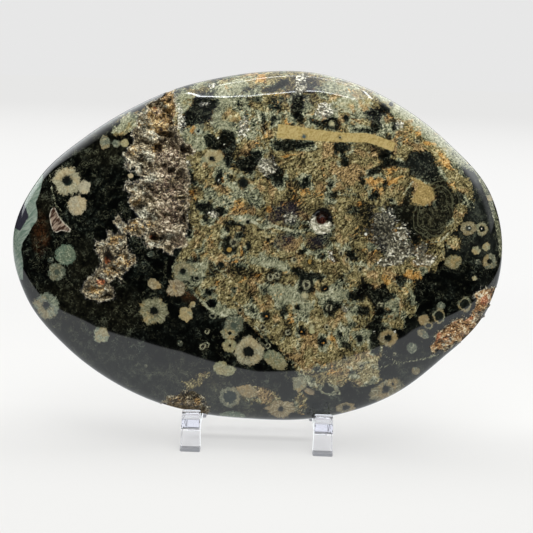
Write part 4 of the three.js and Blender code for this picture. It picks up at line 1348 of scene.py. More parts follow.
def black_matrix(g):
    """The near-black rock: green-black clouds, olive tints, a lacy web of faint threads, and grey that is
    partly a painted reflection veil.
    """
    dark = g.total(0.475, g.centred(g.cloud, 1.25), g.centred(g.grain, 0.5), g.centred(g.fine, 0.4),
                   g.centred(g.mid, 0.5))
    black = g.ramp(dark, BLACK_SHADES)
    brown = g.ramp(dark, BROWN_SHADES)
    black = g.mix(g.mul(g.olive, g.step(g.fine, 0.3, 0.6)), black, brown)
    black = g.mix(g.mul(g.rust, g.step(g.fine, 0.4, 0.6)), black, RUST_STAIN)
    # Smooth grey over the black; along the lower and right rims it is painted reflection, a veil added to
    # the stone's colour.
    smoke_and_veil_noise = g.total(0.5, g.centred(g.mid, 1.0), g.centred(g.fine, 0.7), g.centred(g.grain, 0.3))
    black = g.mix(g.mul(g.larger(g.smoke, 0.0), 0.9), black, g.ramp(smoke_and_veil_noise, SMOKE_AND_VEIL_SHADES))
    thread = g.threads(g.warp(g.p, 3.0, 1.8), 3.4, 2.5, 0.62, 0.5, 0.014)
    small_thread = g.threads(g.warp(g.p, 1.6, 0.9), 1.5, 1.5, 0.6, 0.52, 0.022)
    thread = g.mul(g.larger(thread, g.mul(small_thread, 0.6)), g.step(g.mid, 0.46, 0.60))
    black = g.mix(g.mul(thread, 0.5), black, THREAD_SHADE)
    crumb = g.mul(g.step(g.grain, 0.64, 0.74), g.step(g.mid, 0.5, 0.66))
    black = g.mix(g.mul(crumb, 0.25), black, CRUMB_SHADE)
    deep = g.larger(g.mul(g.smoke, -1.0), 0.0)
    return g.mix(g.mul(deep, 0.72), black, DEEP_BLACK)


def tan_tone(g, halo_blot, by_edge, in_pale):
    """How light the tan rock is, from 0 to 1."""
    dark_net = g.threads(g.warp(g.p, 2.2, 1.5), 1.9, 1.0, 0.5, 0.5, 0.022, 0.004)
    dark_net = g.mul(dark_net, g.step(g.mid, 0.36, 0.56))
    pale_net = g.threads(g.warp(g.p, 2.6, 1.7), 2.2, 1.0, 0.5, 0.46, 0.020, 0.004)
    pale_net = g.mul(pale_net, g.step(g.mid, 0.60, 0.42))
    rings = g.math("SINE", g.mul(g.noise(g.warp(g.p, 6.0, 3.0), 8.0, 1.0, 0.5), 46.0))
    rings = g.mul(rings, g.step(g.noise(g.p, 9.0, 1.0), 0.45, 0.62))
    crease = g.threads(g.warp(g.p, 4.0, 2.4), 5.0, 2.0, 0.6, 0.5, 0.012)
    crack = g.threads(g.warp(g.p, 3.0, 2.0), 4.0, 2.0, 0.6, 0.47, 0.014)
    pepper = g.add(0.55, g.mul(g.step(g.mid, 0.38, 0.62), 0.7))
    soft_blot = g.ragged(g.blot_far, 4.0, 6.0, 0, -2.0, 1.4)
    in_dim = g.ragged(g.dim_far, 5.0, 6.0, 2.0, -1.8, 1.4)
    # g.shade holds the tone washes, with painted highlight under the top rim and painted shade by the main
    # hollow.
    tone = g.total(
        0.492, g.centred(g.cloud, 0.64), g.centred(g.streak, 0.38),
        g.mul(g.centred(g.grain, 0.5), pepper), g.centred(g.strokes[0], 1.06),
        g.centred(g.strokes[1], 0.78), g.mul(g.shade, 0.1), g.mul(rings, 0.035),
        g.mul(crease, 0.12), g.mul(crack, -0.14), g.mul(dark_net, -0.20), g.mul(pale_net, 0.15),
        g.mul(halo_blot, 0.07), g.mul(g.sage, 0.03), g.mul(soft_blot, -0.33),
        g.mul(by_edge, -0.10), g.mul(g.violet, -0.13), g.mul(in_dim, -0.19))
    pale = g.total(0.65, g.centred(g.grain, 0.5), g.centred(g.strokes[1], 0.6))
    return g.mix_number(g.mul(in_pale, 0.45), tone, pale)


def tan_matrix(g):
    """The speckled tan rock, its tone shaded with four sets of colours; also gives back the tone."""
    halo_blot = g.mul(g.ragged(g.blot_far, 0, 6.0, 0, -5.0, -2.6), g.step(g.hue_sage, 0.42, 0.56))
    by_edge = g.ragged(g.tan_far, 14.0, 7.0, 0, 4.5, -1.5)
    in_pale = g.ragged(g.pale_far, 4.0, 5.0, 2.0, -1.6, 1.2)
    tone = tan_tone(g, halo_blot, by_edge, in_pale)
    sage = g.total(g.mul(g.sage, 0.44), g.centred(g.hue_sage, 2.6), g.mul(halo_blot, 0.3),
                   g.mul(by_edge, 0.2), g.mul(in_pale, 0.26))
    pink = g.total(g.mul(g.pink, 0.5), g.centred(g.hue_pink, 2.6))
    orange = g.total(g.mul(g.orange, 0.46), g.centred(g.hue_orange, 1.9), g.centred(g.streak, 1.4),
                     g.centred(g.strokes[0], 0.8))
    tan = g.mix(g.step(pink, 0.04, 0.34), g.ramp(tone, OLIVE_SHADES), g.ramp(tone, PINK_SHADES))
    tan = g.mix(g.step(sage, 0.15, 0.40), tan, g.ramp(tone, SAGE_SHADES))
    tan = g.mix(g.mul(g.step(orange, 0.36, 0.58), 0.85), tan, g.ramp(g.add(tone, 0.03), ORANGE_SHADES))
    violet = g.mul(g.violet, g.step(g.mid, 0.35, 0.6))
    return g.mix(violet, tan, g.mix(0.5, tan, VIOLET_ON_TAN)), tone


def with_blots(g, base, black):
    """Black cores of the blots, with a few pale specks."""
    in_blot = g.mul(g.ragged(g.sub(g.blot_far, 1.0), 5.0, 6.0, 3.0), g.step(g.tan_far, -14.0, -8.0))
    speck = g.step(g.add(g.fine, g.centred(g.grain, 0.5)), 0.56, 0.78)
    return g.mix(g.mul(in_blot, 0.92), base, g.mix(speck, black, BLOT_SPECK))


def with_onion(g, base):
    """Contours like an onion's on the right."""
    line = g.math("SINE", g.mul(g.add(g.onion, g.mul(g.mid_out, 0.25)), 34.0))
    in_onion = g.mul(g.step(g.onion, 1.15, 1.0), g.step(g.onion, 0.5, 0.72))
    in_onion = g.mul(in_onion, g.step(line, 0.45, 0.95))
    return g.mix(g.mul(in_onion, 0.30), base, ONION_LINE)


def with_bands(g, base, tone):
    """Pale veins, the straw-coloured band and patch, and the sage rim with its violet patch."""
    in_vein = g.ragged(g.vein_far, 1.2, 3.2, 1.6)
    base = g.mix(g.mul(in_vein, 0.9), base, g.ramp(g.add(tone, 0.14), SAGE_SHADES))
    stripes = g.noise(g.flow, 0.8, 2.0, 0.6)
    in_band = g.ragged(g.band_far, 0, 1.2, 1.2)
    banding = g.mix(g.step(stripes, 0.34, 0.66), BAND_DARK, BAND_PALE)
    banding = g.mix(g.mul(g.step(g.grain, 0.36, 0.64), 0.5), banding, BAND_GRAIN)
    banding = g.mix(g.mul(g.step(g.fine, 0.40, 0.26), 0.7), banding, BAND_FLECK)
    base = g.mix(g.mul(in_band, 0.95), base, banding)
    patch = g.ramp(g.total(0.5, g.centred(g.fine, 1.0), g.centred(g.grain, 0.9)), PATCH_SHADES)
    in_patch = g.ragged(g.patch_far, 0, 2.0, 1.6, -0.6, 0.6)
    base = g.mix(g.mul(in_patch, 0.95), base, patch)
    rim = g.mix(g.step(stripes, 0.3, 0.7), RIM_DARK, RIM_PALE)
    base = g.mix(g.ragged(g.rim_sage, 1.0, 1.0, 0.5), base, rim)
    return g.mix(g.ragged(g.rim_violet, 1.0, 1.5, 0.5), base, RIM_VIOLET)


def orb_colours(g, ray, rays, lobe, orb_far, core_share):
    """An orb's body with light and dark rays and grain, and its core."""
    body = g.stored_colour("orb_body")
    lighter, darker = g.mix(0.46, body, ORB_LIGHT), g.mix(0.6, body, ORB_DARK)
    orb = body
    for mask, share, shade in (
            (g.step(ray, 0.5, 0.62), g.mul(rays, 0.9), lighter),
            (g.step(ray, 0.5, 0.36), rays, darker),
            (g.step(g.grain, 0.52, 0.68), 0.6, lighter),
            (g.step(g.fine, 0.48, 0.28), 0.6, darker),
            (g.step(g.grain, 0.50, 0.30), 0.5, darker)):
        orb = g.mix(g.mul(mask, share), orb, shade)
    warm = g.mul(g.step(g.add(g.hue_orange, g.mul(g.fine_out, 0.6)), 0.46, 0.58), g.mul(rays, 0.8))
    orb = g.mix(warm, orb, g.mix(0.55, orb, ORB_WARM))
    core_edge = g.total(orb_far, g.mul(g.fine_out, 0.45), g.mul(g.grain_out, 0.2),
                        g.centred(lobe, 0.2))
    core_edge = g.sub(core_edge, core_share)
    core = g.mix(g.mul(g.step(g.fine, 0.5, 0.8), 0.4), g.stored_colour("orb_core"), body)
    in_core = g.mul(g.step(core_edge, 0.07, -0.07), g.step(core_share, 0.02, 0.06))
    return g.mix(in_core, orb, core)


def with_orbs(g, base, in_tan):
    """Orbs: a ragged body with fine rays, a core, and a dark line round it."""
    orb_far, core_share, rays, seed = g.stored("orb")
    across, down, _, _ = g.stored("orb_place")
    around = g.node("CombineXYZ", {0: across, 1: down, 2: 0.0}).outputs[0]
    around = g.node("VectorMath", {0: around}, operation="NORMALIZE").outputs[0]
    shift = g.node("CombineXYZ", {2: g.mul(seed, 60.0)}).outputs[0]
    around = g.node("VectorMath", {0: around, 1: shift}, operation="ADD").outputs[0]
    ray = g.noise(around, 0.12, 3.0, 0.75)
    lobe = g.noise(around, 0.6, 1.0, 0.5)
    edge = g.total(orb_far, g.mul(g.centred(ray, 0.6), rays), g.mul(g.centred(lobe, 0.95), rays),
                   g.mul(g.fine_out, 0.8), g.mul(g.grain_out, 0.5), g.mul(g.mid_out, 0.35))
    halo = g.mul(g.step(edge, 1.28, 1.05), g.mix_number(in_tan, 0.7, 0.25))
    base = g.mix(halo, base, g.mix(0.3, ORB_HALO, base))
    orb = orb_colours(g, ray, rays, lobe, orb_far, core_share)
    return g.mix(g.mul(g.step(edge, 1.06, 0.93), 0.97), base, orb)


def with_eyes(g, base):
    """Eyes: a soft dark line, a ring, and the colour inside it."""
    edge = g.total(g.eye_far, g.mul(g.fine_out, 1.5), g.mul(g.grain_out, 0.8), g.mul(g.mid_out, 0.7))
    base = g.mix(g.mul(g.step(edge, 1.8, 1.1), 0.35), base, EYE_HALO)
    ring = g.mix(g.step(g.fine, 0.58, 0.40), g.stored_colour("eye_ring"), base)
    base = g.mix(g.step(edge, 1.12, 0.92), base, ring)
    inner = g.sub(edge, g.eye_share)
    return g.mix(g.step(inner, 0.08, -0.08), base, g.stored_colour("eye_inside"))


def with_chip(g, base):
    """The ribbed chip: pale edges, brown ribs."""
    ribs = g.step(g.noise(g.turned(g.p, RIB_TURN, RIB_SQUEEZE), 0.75, 1.0, 0.5), 0.38, 0.62)
    chip = g.mix(ribs, RIB_DARK, RIB_PALE)
    edge = g.mul(g.step(g.chip_far, 1.2, 0.4), g.step(g.fine, 0.62, 0.42))
    return g.mix(g.ragged(g.chip_far, 0, 0.8, 0.8, -0.4, 0.4), base, g.mix(edge, chip, CHIP_EDGE))


def with_geode(g, base):
    """The little geode: black border, white crystals along the bottom, dark red inside."""
    rim_noise = g.add(g.mul(g.fine_out, 0.9), g.mul(g.grain_out, 0.4))
    base = g.mix(g.step(g.add(g.hole, rim_noise), -0.75, -0.3), base, GEODE_BORDER)
    across, _, height = g.axes(g.p)
    low_left = g.total(g.mul(g.sub(POCKET["across"], across), 0.11),
                       g.mul(g.sub(GEODE_HEIGHT, height), 0.34), g.mul(g.fine_out, 0.9))
    spread = g.mul(g.math("MINIMUM", low_left, 1.2), 0.62)
    white_rim = g.step(g.total(g.hole, rim_noise, spread), -0.30, -0.12)
    white_rim = g.mul(white_rim, g.step(low_left, -0.12, 0.12))
    white = g.total(g.mul(g.facet, 0.5), g.mul(g.fine, 0.55), 0.22)
    base = g.mix(white_rim, base, g.ramp(white, DRUSE_SHADES))
    red = g.mix(g.step(g.fine, 0.4, 0.7), GEODE_DARK, GEODE_RED)
    return g.mix(g.step(g.hole, 0.16, 0.4), base, red)


def jasper():
    """The stone's polished surface, rough only on its druse and round its hollows."""
    g = Rock()
    black = black_matrix(g)
    tan, tone = tan_matrix(g)
    in_tan = g.ragged(g.tan_far, 14.0, 7.0, 3.5)
    base = g.mix(in_tan, black, tan)
    violet = g.mul(g.violet, g.step(g.fine, 0.35, 0.6))
    base = g.mix(g.mul(violet, 0.6), base, VIOLET_CLOUD)
    base = with_blots(g, base, black)
    base = with_onion(g, base)
    base = with_bands(g, base, tone)
    base = with_orbs(g, base, in_tan)
    base = with_eyes(g, base)

    # Druse on the face: small bright and dark facets side by side.
    in_druse = g.ragged(g.sparkle, 0.8, 1.3, 0, 0.44, 0.62)
    druse = g.total(g.mul(g.facet, 0.95), g.mul(g.fine, 0.5), g.centred(g.grain, 1.4),
                    g.mul(g.shade, 0.17), -0.16)
    base = g.mix(g.mul(in_druse, 0.85), base, g.ramp(druse, DRUSE_SHADES))
    base = with_chip(g, base)

    # The broken rim of each hollow, and its walls.
    lip = g.step(g.total(g.mouth_far, g.mul(g.mid_out, 4.4), g.mul(g.fine_out, 5.0),
                         g.mul(g.strokes[0], 1.4)), 0.1, 1.0)
    broken_edge = g.total(0.5, g.centred(g.fine, 1.7), g.centred(g.grain, 1.6))
    base = g.mix(g.mul(lip, 0.9), base, g.ramp(broken_edge, LIP_SHADES))
    inside = g.step(g.mouth_far, 0.1, 0.7)
    base = g.mix(inside, base, g.mix(g.step(g.grain, 0.35, 0.65), WALL_DARK, WALL_PALE))
    base = with_geode(g, base)

    rough = g.larger(g.mul(in_druse, 0.25), g.mul(lip, 0.6))
    rough = g.math("MINIMUM", g.add(g.larger(rough, inside), 0.05), 0.9)
    broken = g.larger(g.mul(in_druse, 0.3), g.larger(lip, inside))
    relief = g.mul(g.add(g.grain, g.fine), broken)
    g.surface(Base_Color=base, Roughness=rough, IOR=QUARTZ_IOR, Normal=g.bump(relief, 0.6, 0.0004))
    return g.owner


# ---------------------------------------------------------------- the hollows' crusts

CRUST_CELL = 0.24
CRUST_MARGIN = 3.5      # of the crusts' grids beyond the mouths
CRUST_TUCK = 0.8        # how far a crust goes on under the mouth's edge
CRUST_WANDER = 3.0      # pixels that domes, pits and washes wander by
CRYSTAL = 0.85          # size of the larger crystals; the smaller ones are half as large
LUMPS, CREVICES = 1.5, 1.6
FOLD_TURN, FOLD_SQUEEZE = math.radians(25), 0.24
FOLD_ALONG, FOLD_ASIDE = 0.9, 0.42      # about that turn's cosine and sine
FOLD_DEPTH = 1.5
LEAST_DEPTH, LEAST_BED = 0.12, 0.3      # a crust stays this far below the face and over its bed

# Lumps of the crusts as they are seen from the camera, in pixels: across, down, half width,
# half height, turn, and how far they stand out in millimetres.
DOMES = [
    (157, 113, 7, 6, 25, 2.2), (163, 122, 11, 8, 10, 1.6), (168, 106, 5.5, 3.6, 0, 1.8),
    (150.5, 135, 9, 6, 5, 1.8), (135.5, 150, 7, 6, 0, 1.6), (147, 155, 6, 5.5, 0, 1.2),
    (137, 168, 9, 8, 20, 1.0), (170, 156, 11, 10, 0, 1.6), (160, 180, 13, 12, 0, 1.4),
    (151, 178, 6, 5, 0, 0.8), (168, 200, 16, 13, 0, 1.8), (172, 226, 13, 12, 0, 1.5),
    (140, 190, 11, 6, 10, 1.2), (138, 198, 8, 7, 0, 1.2), (142, 212, 8, 8, 0, 0.9),
    (166, 244, 7, 4, 35, 1.2), (153, 244.5, 7, 2.6, 0, 1.2),
    (122, 229, 7, 7, 0, 1.2), (137, 227, 8, 7.5, 0, 1.4), (118, 241, 9, 8, 35, 1.4),
    (102, 247, 6, 6, 0, 1.0), (122, 261, 12, 7, 0, 1.3), (107, 274, 10, 6, -20, 1.0),
    (100, 283, 6, 4, 0, 0.8), (96, 292, 9, 6, 0, 0.9),
    (448, 340, 7, 6, -30, 1.2), (441, 338, 5, 8, 20, 1.0), (457, 328, 8, 6, -30, 1.2),
    (465, 330, 6, 5, -30, 1.0), (484, 297, 8, 6, -20, 1.2), (472, 320, 6, 5, -40, 0.8),
    (187, 403, 5, 5.5, 0, 1.6), (197, 402, 4, 3, 0, 1.4), (177, 401, 8, 4, 0, 1.0)]
PITS = [
    (157, 102.5, 5, 3.6, 0, 2.4), (170, 115, 2.4, 7, -25, 1.6), (166, 132.5, 9, 3, 8, 2.6),
    (157.5, 146, 4.5, 5, 0, 3.0), (184.5, 147, 5.2, 5.4, 40, 3.4), (173, 123, 2.4, 5, 0, 1.4),
    (149.5, 163.5, 2.6, 4, -25, 2.0), (141.5, 165.6, 2.4, 2.2, 0, 2.6), (164, 164, 2, 2, 0, 2.2),
    (171.5, 167.5, 4.5, 2.2, 10, 2.2), (180, 172, 3.4, 6, 0, 1.6), (182, 197.5, 5, 1.8, 10, 2.4),
    (184.5, 217, 2.2, 8, 0, 2.4), (185, 228, 2, 5, 0, 2.0), (153, 217, 5.6, 5.4, 0, 1.6),
    (169, 237, 4.4, 3.6, 35, 1.8), (153.5, 236, 4.6, 4.2, 0, 3.2), (137, 203, 4.4, 2.4, 10, 2.2),
    (130, 185.5, 3, 1.2, 0, 1.4), (146, 206, 1.6, 4, 0, 1.4), (137, 230, 4, 2, 0, 1.2),
    (108, 258, 5.4, 7, 10, 3.4), (113, 270, 3, 2.2, 0, 1.8), (126, 246, 2, 5, 0, 1.0),
    (92, 287, 4, 2, 0, 1.0), (456, 326.6, 5, 1.4, 0, 1.8), (446, 332, 4, 2.6, 0, 1.8),
    (450, 347, 6, 2, -25, 1.4), (480, 305, 4, 2, -30, 1.6), (459.5, 330.5, 3, 2, 0, 1.4),
    (195, 396, 6, 1.8, 25, 2.4), (192, 402, 2, 3, -40, 1.8), (201, 406, 4, 1, 20, 1.0)]


def crystals(u, v, size, seed):
    """Small blunt crystals standing side by side: height from 0 to 1 and a tone for each."""
    best = np.full(u.shape, -9.0)
    tone = np.zeros(u.shape)
    i, j = np.floor(u / size).astype(np.int64), np.floor(v / size).astype(np.int64)
    for di in (-1, 0, 1):
        for dj in (-1, 0, 1):
            ci, cj = i + di, j + dj
            random = [lattice(ci, cj, n, seed) for n in range(6)]
            du, dv = u / size - ci - random[0], v / size - cj - random[1]
            turn = random[2] * math.pi
            tilt_u, tilt_v = (random[4] - 0.5) * 1.1, (random[5] - 0.5) * 1.1
            a = du * np.cos(turn) + dv * np.sin(turn)
            b = dv * np.cos(turn) - du * np.sin(turn)
            side = np.maximum(abs(a), np.maximum(abs(a * 0.5 + b * 0.87), abs(a * 0.5 - b * 0.87)))
            flank = random[3] + 0.35 - 1.3 * side
            top = random[3] * 0.9 + 0.1 + tilt_u * du + tilt_v * dv
            here = np.minimum(flank, top)
            tone = np.where(here > best, random[4], tone)
            best = np.maximum(best, here)
    return best, tone


def heaps(x, y, places):
    """The height in millimetres of a set of domes."""
    total = np.zeros(x.shape)
    for place in places:
        far, _, _ = ellipse(x, y, place)
        total = np.maximum(total, place[5] * np.sqrt(np.clip(1 - far ** 2, 0, 1)))
    return total


def crust_relief(hollow, u, v, inside):
    """A crust's depth below the face; and for its material two tones and a level that paints light and
    shade.
    """
    seed = hollow["seed"]
    x, y = seen_on_face(u, v)
    x = x + CRUST_WANDER * layers(u, v, 1.8, seed + 7, 2)
    y = y + CRUST_WANDER * layers(u, v, 1.8, seed + 8, 2)
    dome, pit = heaps(x, y, DOMES), heaps(x, y, PITS)
    crevice = CREVICES * smooth(layers(u, v, 4.0, seed, 3), 0.10, 0.3)
    lump = LUMPS * (layers(u, v, 4.4, seed + 1, 3) + 0.8 * layers(u, v, 1.9, seed + 2, 2))
    height, tone = crystals(u, v, CRYSTAL, seed)
    small, small_tone = crystals(u, v, CRYSTAL * 0.5, seed + 3)
    fold_u = u + 3.4 * layers(u, v, 4.5, seed + 9, 2)
    fold_v = v + 3.4 * layers(u, v, 4.5, seed + 10, 2)
    fold_u, fold_v = (fold_u * FOLD_ALONG - fold_v * FOLD_ASIDE,
                      fold_v * FOLD_ALONG + fold_u * FOLD_ASIDE)
    folds = layers(0.35 * fold_u, fold_v, 1.3, seed + 11, 2)

    sunk = 0.7 + hollow["sink"] * hollow["depth"] * smooth(inside, -0.2, 4.0)
    swell = (pit + crevice - dome - lump) * smooth(inside, -0.5, 1.6)
    grit = CRYSTAL * (0.36 * height + 0.3 * small) + FOLD_DEPTH * folds
    depth = np.clip(sunk + swell - grit, LEAST_DEPTH, hollow["depth"] - LEAST_BED)
    under_edge = 0.5 + 0.5 * np.clip(-inside, 0, 1)
    depth = np.where(inside < 0, np.maximum(depth, under_edge), depth)
    # The level is painted light and shade: lighter on domes, lumps and crystal tips, darker in pits and
    # crevices; it also holds the hollow's tone and washes.
    level = (0.25 * (dome - pit) + (lump - crevice) / 3 + 0.3 * height + 0.15 * small
             + 1.1 * folds + 0.18 + hollow["tone"] + CRUST_WASH_STEP * signed_wash(x, y, CRUST_WASH))
    return depth, level, tone, small_tone


def kept_faces(keep):
    """Of a grid, the points in cells whose corners are all kept, and those cells' faces."""
    cells = keep[:-1, :-1] & keep[:-1, 1:] & keep[1:, 1:] & keep[1:, :-1]
    used = np.zeros(keep.shape, bool)
    for di in (0, 1):
        for dj in (0, 1):
            used[di:keep.shape[0] - 1 + di, dj:keep.shape[1] - 1 + dj] |= cells
    number = np.full(keep.shape, -1)
    number[used] = np.arange(used.sum())
    rows, columns = np.nonzero(cells)
    corners = [number[rows + di, columns + dj] for di, dj in ((0, 0), (0, 1), (1, 1), (1, 0))]
    return used, np.stack(corners, -1).tolist()


def crust(name):
    """One hollow's crust: a rough sheet of crystals that tucks under the mouth's edge."""
    hollow = HOLLOWS[name]
    low, high = np.array(hollow["low"]) - CRUST_MARGIN, np.array(hollow["high"]) + CRUST_MARGIN
    u, v = np.meshgrid(*(np.arange(a, b, CRUST_CELL) for a, b in zip(low, high)))
    on_face = np.hypot(u, v) < outline_radius(np.arctan2(v, u)) * 0.999
    inside = mouth(name, u, v)
    depth, level, tone, small_tone = crust_relief(hollow, u, v, inside)
    u = u + 0.3 * CRUST_CELL * layers(u, v, 0.9, hollow["seed"] + 5, 1)
    used, faces = kept_faces((inside > -CRUST_TUCK) & on_face)
    straight = np.full(u.shape, name in STRAIGHT_HOLLOWS)
    points = to_row(*(c[used] for c in face_point(u, v, depth, straight)))
    made = make_mesh(name + "_crystals", points, faces, 24)
    store(made, "crust", level[used], tone[used], small_tone[used], inside[used])
    x, y = seen_at(points)
    store(made, "zones", *(wash(x, y, zone) for zone in (OCHRE_ZONE, MAUVE_ZONE, PALE_ZONE, RED_ZONE)))
    return made


# Colour zones of the crusts, measured as the markings are.
OCHRE_ZONE = [
    (154, 114, 9, 8, 0, 0.9), (171, 108, 6, 10, 0, 1.0), (160, 131, 9, 5, 0, 0.9),
    (114, 240, 7, 8, 30, 0.9), (124, 262, 10, 6, 0, 0.9), (96, 290, 8, 6, 0, 0.9),
    (110, 272, 6, 5, 0, 0.8), (142, 124, 8, 6, 0, 0.5), (150, 226, 8, 6, 0, 0.5),
    (168, 97, 9, 8, -30, 1.0), (162, 122, 12, 9, 10, 1.0), (135, 150, 8, 6, 0, 0.7),
    (136, 202, 6, 5, 0, 0.7), (134, 226, 10, 8, 0, 0.7), (98, 289, 8, 5, 0, 0.6),
    (154, 236, 5, 4, 0, 0.8), (197, 402, 5, 4, 0, 1.0), (176, 400, 10, 5, 0, 0.8),
    (158, 148, 6, 6, 0, 0.7), (438, 342, 9, 9, 0, 1.0), (462, 328, 14, 7, -35, 0.8),
    (487, 303, 7, 8, 20, 0.7)]
MAUVE_ZONE = [(157, 112, 7, 6, 0, 0.8), (170, 158, 16, 16, 0, 1.0), (166, 186, 20, 18, 0, 1.0),
              (172, 214, 16, 20, 0, 0.9), (178, 238, 10, 10, 0, 0.8), (187, 404, 5, 6, 0, 0.5)]
PALE_ZONE = [(168, 106, 6, 4, 0, 1.0), (142, 124, 6, 9, 0, 0.7), (150, 135, 9, 7, 0, 0.9),
             (147, 156, 7, 7, 0, 1.0), (136, 168, 9, 8, 0, 0.8), (151, 178, 7, 6, 0, 1.0),
             (139, 189, 12, 7, 0, 0.7), (142, 212, 9, 9, 0, 1.0), (120, 228, 8, 8, 0, 0.8),
             (118, 241, 9, 9, 0, 0.7), (103, 246, 7, 7, 0, 0.6), (122, 262, 12, 8, 0, 0.7),
             (106, 276, 9, 6, 0, 0.6), (98, 291, 10, 7, 0, 0.8), (154, 245, 9, 3, 0, 1.0),
             (162, 242, 6, 6, 0, 0.5), (153, 217, 5, 6, 0, 0.9), (169, 237, 5, 4, 0, 0.9),
             (177, 228, 9, 8, 0, 0.5), (446, 338, 7, 7, 0, 0.8), (476, 318, 5, 6, 0, 0.7),
             (483, 296, 8, 6, 0, 0.6), (206, 407, 4, 5, 0, 1.0)]
CRUST_WASH = [                          # lighter and darker parts of the crusts; the dark strip on the main hollow's right edge is painted shade
    (171, 186, 13, 16, 0, -1.1), (172, 206, 11, 10, 0, -0.9), (150, 186, 8, 8, 0, -0.8),
    (150, 204, 10, 8, 0, 0.8),
    (148, 144, 10, 12, 0, 0.9), (148, 124, 10, 9, 0, 1.2), (130, 140, 9, 14, 0, 0.8),
    (152, 105, 8, 6, 0, 0.8),
    (172, 124, 6, 10, 0, -0.5), (146, 246, 8, 6, 0, -0.4), (132, 262, 7, 8, 0, -0.5),
    (92, 288, 12, 9, 0, 1.0),
    (100, 298, 8, 5, 0, 0.9), (186, 150, 5, 20, 0, -0.7)]
CRUST_WASH_STEP = 0.31
RED_ZONE = [(484, 300, 6, 8, 20, 0.9), (470, 318, 8, 4, -35, 0.8), (447, 338, 6, 5, 0, 0.7),
            (107, 260, 4.5, 6, 10, 0.9), (101, 282, 5.5, 4, 0, 1.0), (152, 237, 4, 3, 0, 0.9),
            (155, 108, 3, 2, 0, 0.8), (137, 203, 4, 2.5, 0, 0.6), (438, 336, 4, 8, 20, 0.9),
            (492, 295, 4, 6, 0, 0.6), (454, 322, 4, 2, 0, 0.7), (452, 344, 8, 3, -40, 0.6)]
CRUST_STOPS = (0.00, 0.20, 0.38, 0.54, 0.70, 0.86, 1.00)
BODY_SHADES = shades(
    CRUST_STOPS, (7, 5, 3), (34, 26, 15), (75, 65, 45), (112, 101, 75), (146, 135, 106), (182, 172, 144),
    (220, 210, 184))
MAUVE_SHADES = shades(
    CRUST_STOPS, (9, 6, 4), (43, 30, 20), (85, 67, 51), (122, 101, 80), (153, 134, 110), (186, 175, 150),
    (222, 212, 190))
PALE_SHADES = shades(
    CRUST_STOPS, (14, 12, 9), (50, 47, 38), (96, 93, 78), (132, 130, 112), (160, 158, 138), (188, 185, 162),
    (214, 210, 188))
GOLD_SHADES = shades(
    CRUST_STOPS, (16, 9, 4), (54, 36, 17), (100, 74, 38), (136, 106, 58), (164, 136, 84), (190, 168, 118),
    (212, 198, 156))
RUST_SHADES = shades(
    CRUST_STOPS, (22, 14, 7), (64, 42, 20), (112, 78, 40), (150, 108, 60), (178, 140, 92), (194, 178, 138),
    (216, 206, 178))
RED_SHADES = shades(
    CRUST_STOPS, (16, 8, 4), (52, 24, 10), (106, 54, 24), (152, 84, 42), (180, 112, 66), (196, 140, 96),
    (210, 170, 134))


def crust_material(name, body_shades, gold_shades, lift):
    """A crust's brown, mauve, pale, gold and red crystals, with painted light on its tops and painted shade
    in its pits and cracks; lift makes all of it lighter.
    """
    g = material_graph(name)
    p = g.place()
    level, tone, small_tone, inside = g.stored("crust")
    gold_zone, mauve_zone, pale_zone, red_zone = g.stored("zones")
    fine = g.noise(g.warp(p, 1.6, 0.8), 1.25, 3.0, 0.8)
    grain = g.noise(p, 0.66, 1.0, 0.8)
    mid = g.noise(g.warp(p, 2.0, 1.2), 2.6, 4.0, 0.72)
    folds = g.noise(g.turned(g.warp(p, 4.5, 3.4), FOLD_TURN, FOLD_SQUEEZE), 0.62, 2.0, 0.75)
    ridge = g.threads(g.warp(p, 1.5, 0.8), 1.5, 2.0, 0.6, 0.5, 0.06)
    crack = g.threads(g.warp(p, 2.0, 1.4), 2.3, 2.0, 0.6, 0.48, 0.045)
    rim = g.mul(g.step(inside, 1.5, 0.0), g.step(mid, 0.36, 0.54))
    # Painted light and shade: the level lightens high places and darkens pits, and the cracks are painted
    # dark as shade.
    shade = g.total(
        g.mul(level, 0.36), 0.34 + lift, g.centred(fine, 0.8), g.centred(grain, 0.7),
        g.centred(folds, 2.5), g.centred(tone, 0.14), g.centred(small_tone, 0.16),
        g.mul(ridge, 0.14), g.mul(crack, -0.30), g.mul(pale_zone, 0.08), g.mul(rim, 0.26))
    pale = g.total(g.mul(pale_zone, 0.5), g.centred(mid, 1.7), g.centred(fine, 0.9))
    gold = g.total(g.mul(gold_zone, 0.5), g.centred(mid, -1.5), g.centred(fine, 1.1))
    red = g.add(g.mul(red_zone, 0.7), g.centred(fine, 0.9))
    made = g.ramp(shade, body_shades)
    for share, shades in ((g.mul(mauve_zone, g.step(mid, 0.40, 0.56)), MAUVE_SHADES),
                          (g.step(pale, 0.24, 0.46), PALE_SHADES),
                          (g.step(gold, 0.22, 0.42), gold_shades),
                          (g.step(red, 0.40, 0.6), RED_SHADES)):
        made = g.mix(share, made, g.ramp(shade, shades))
    rough = g.mix_number(g.step(tone, 0.5, 0.95), 0.72, 0.42)
    g.surface(Base_Color=made, Roughness=rough, IOR=QUARTZ_IOR,
              Normal=g.bump(g.add(grain, fine), 0.5, 0.0003))
    return g.owner


# ---------------------------------------------------------------- the easel

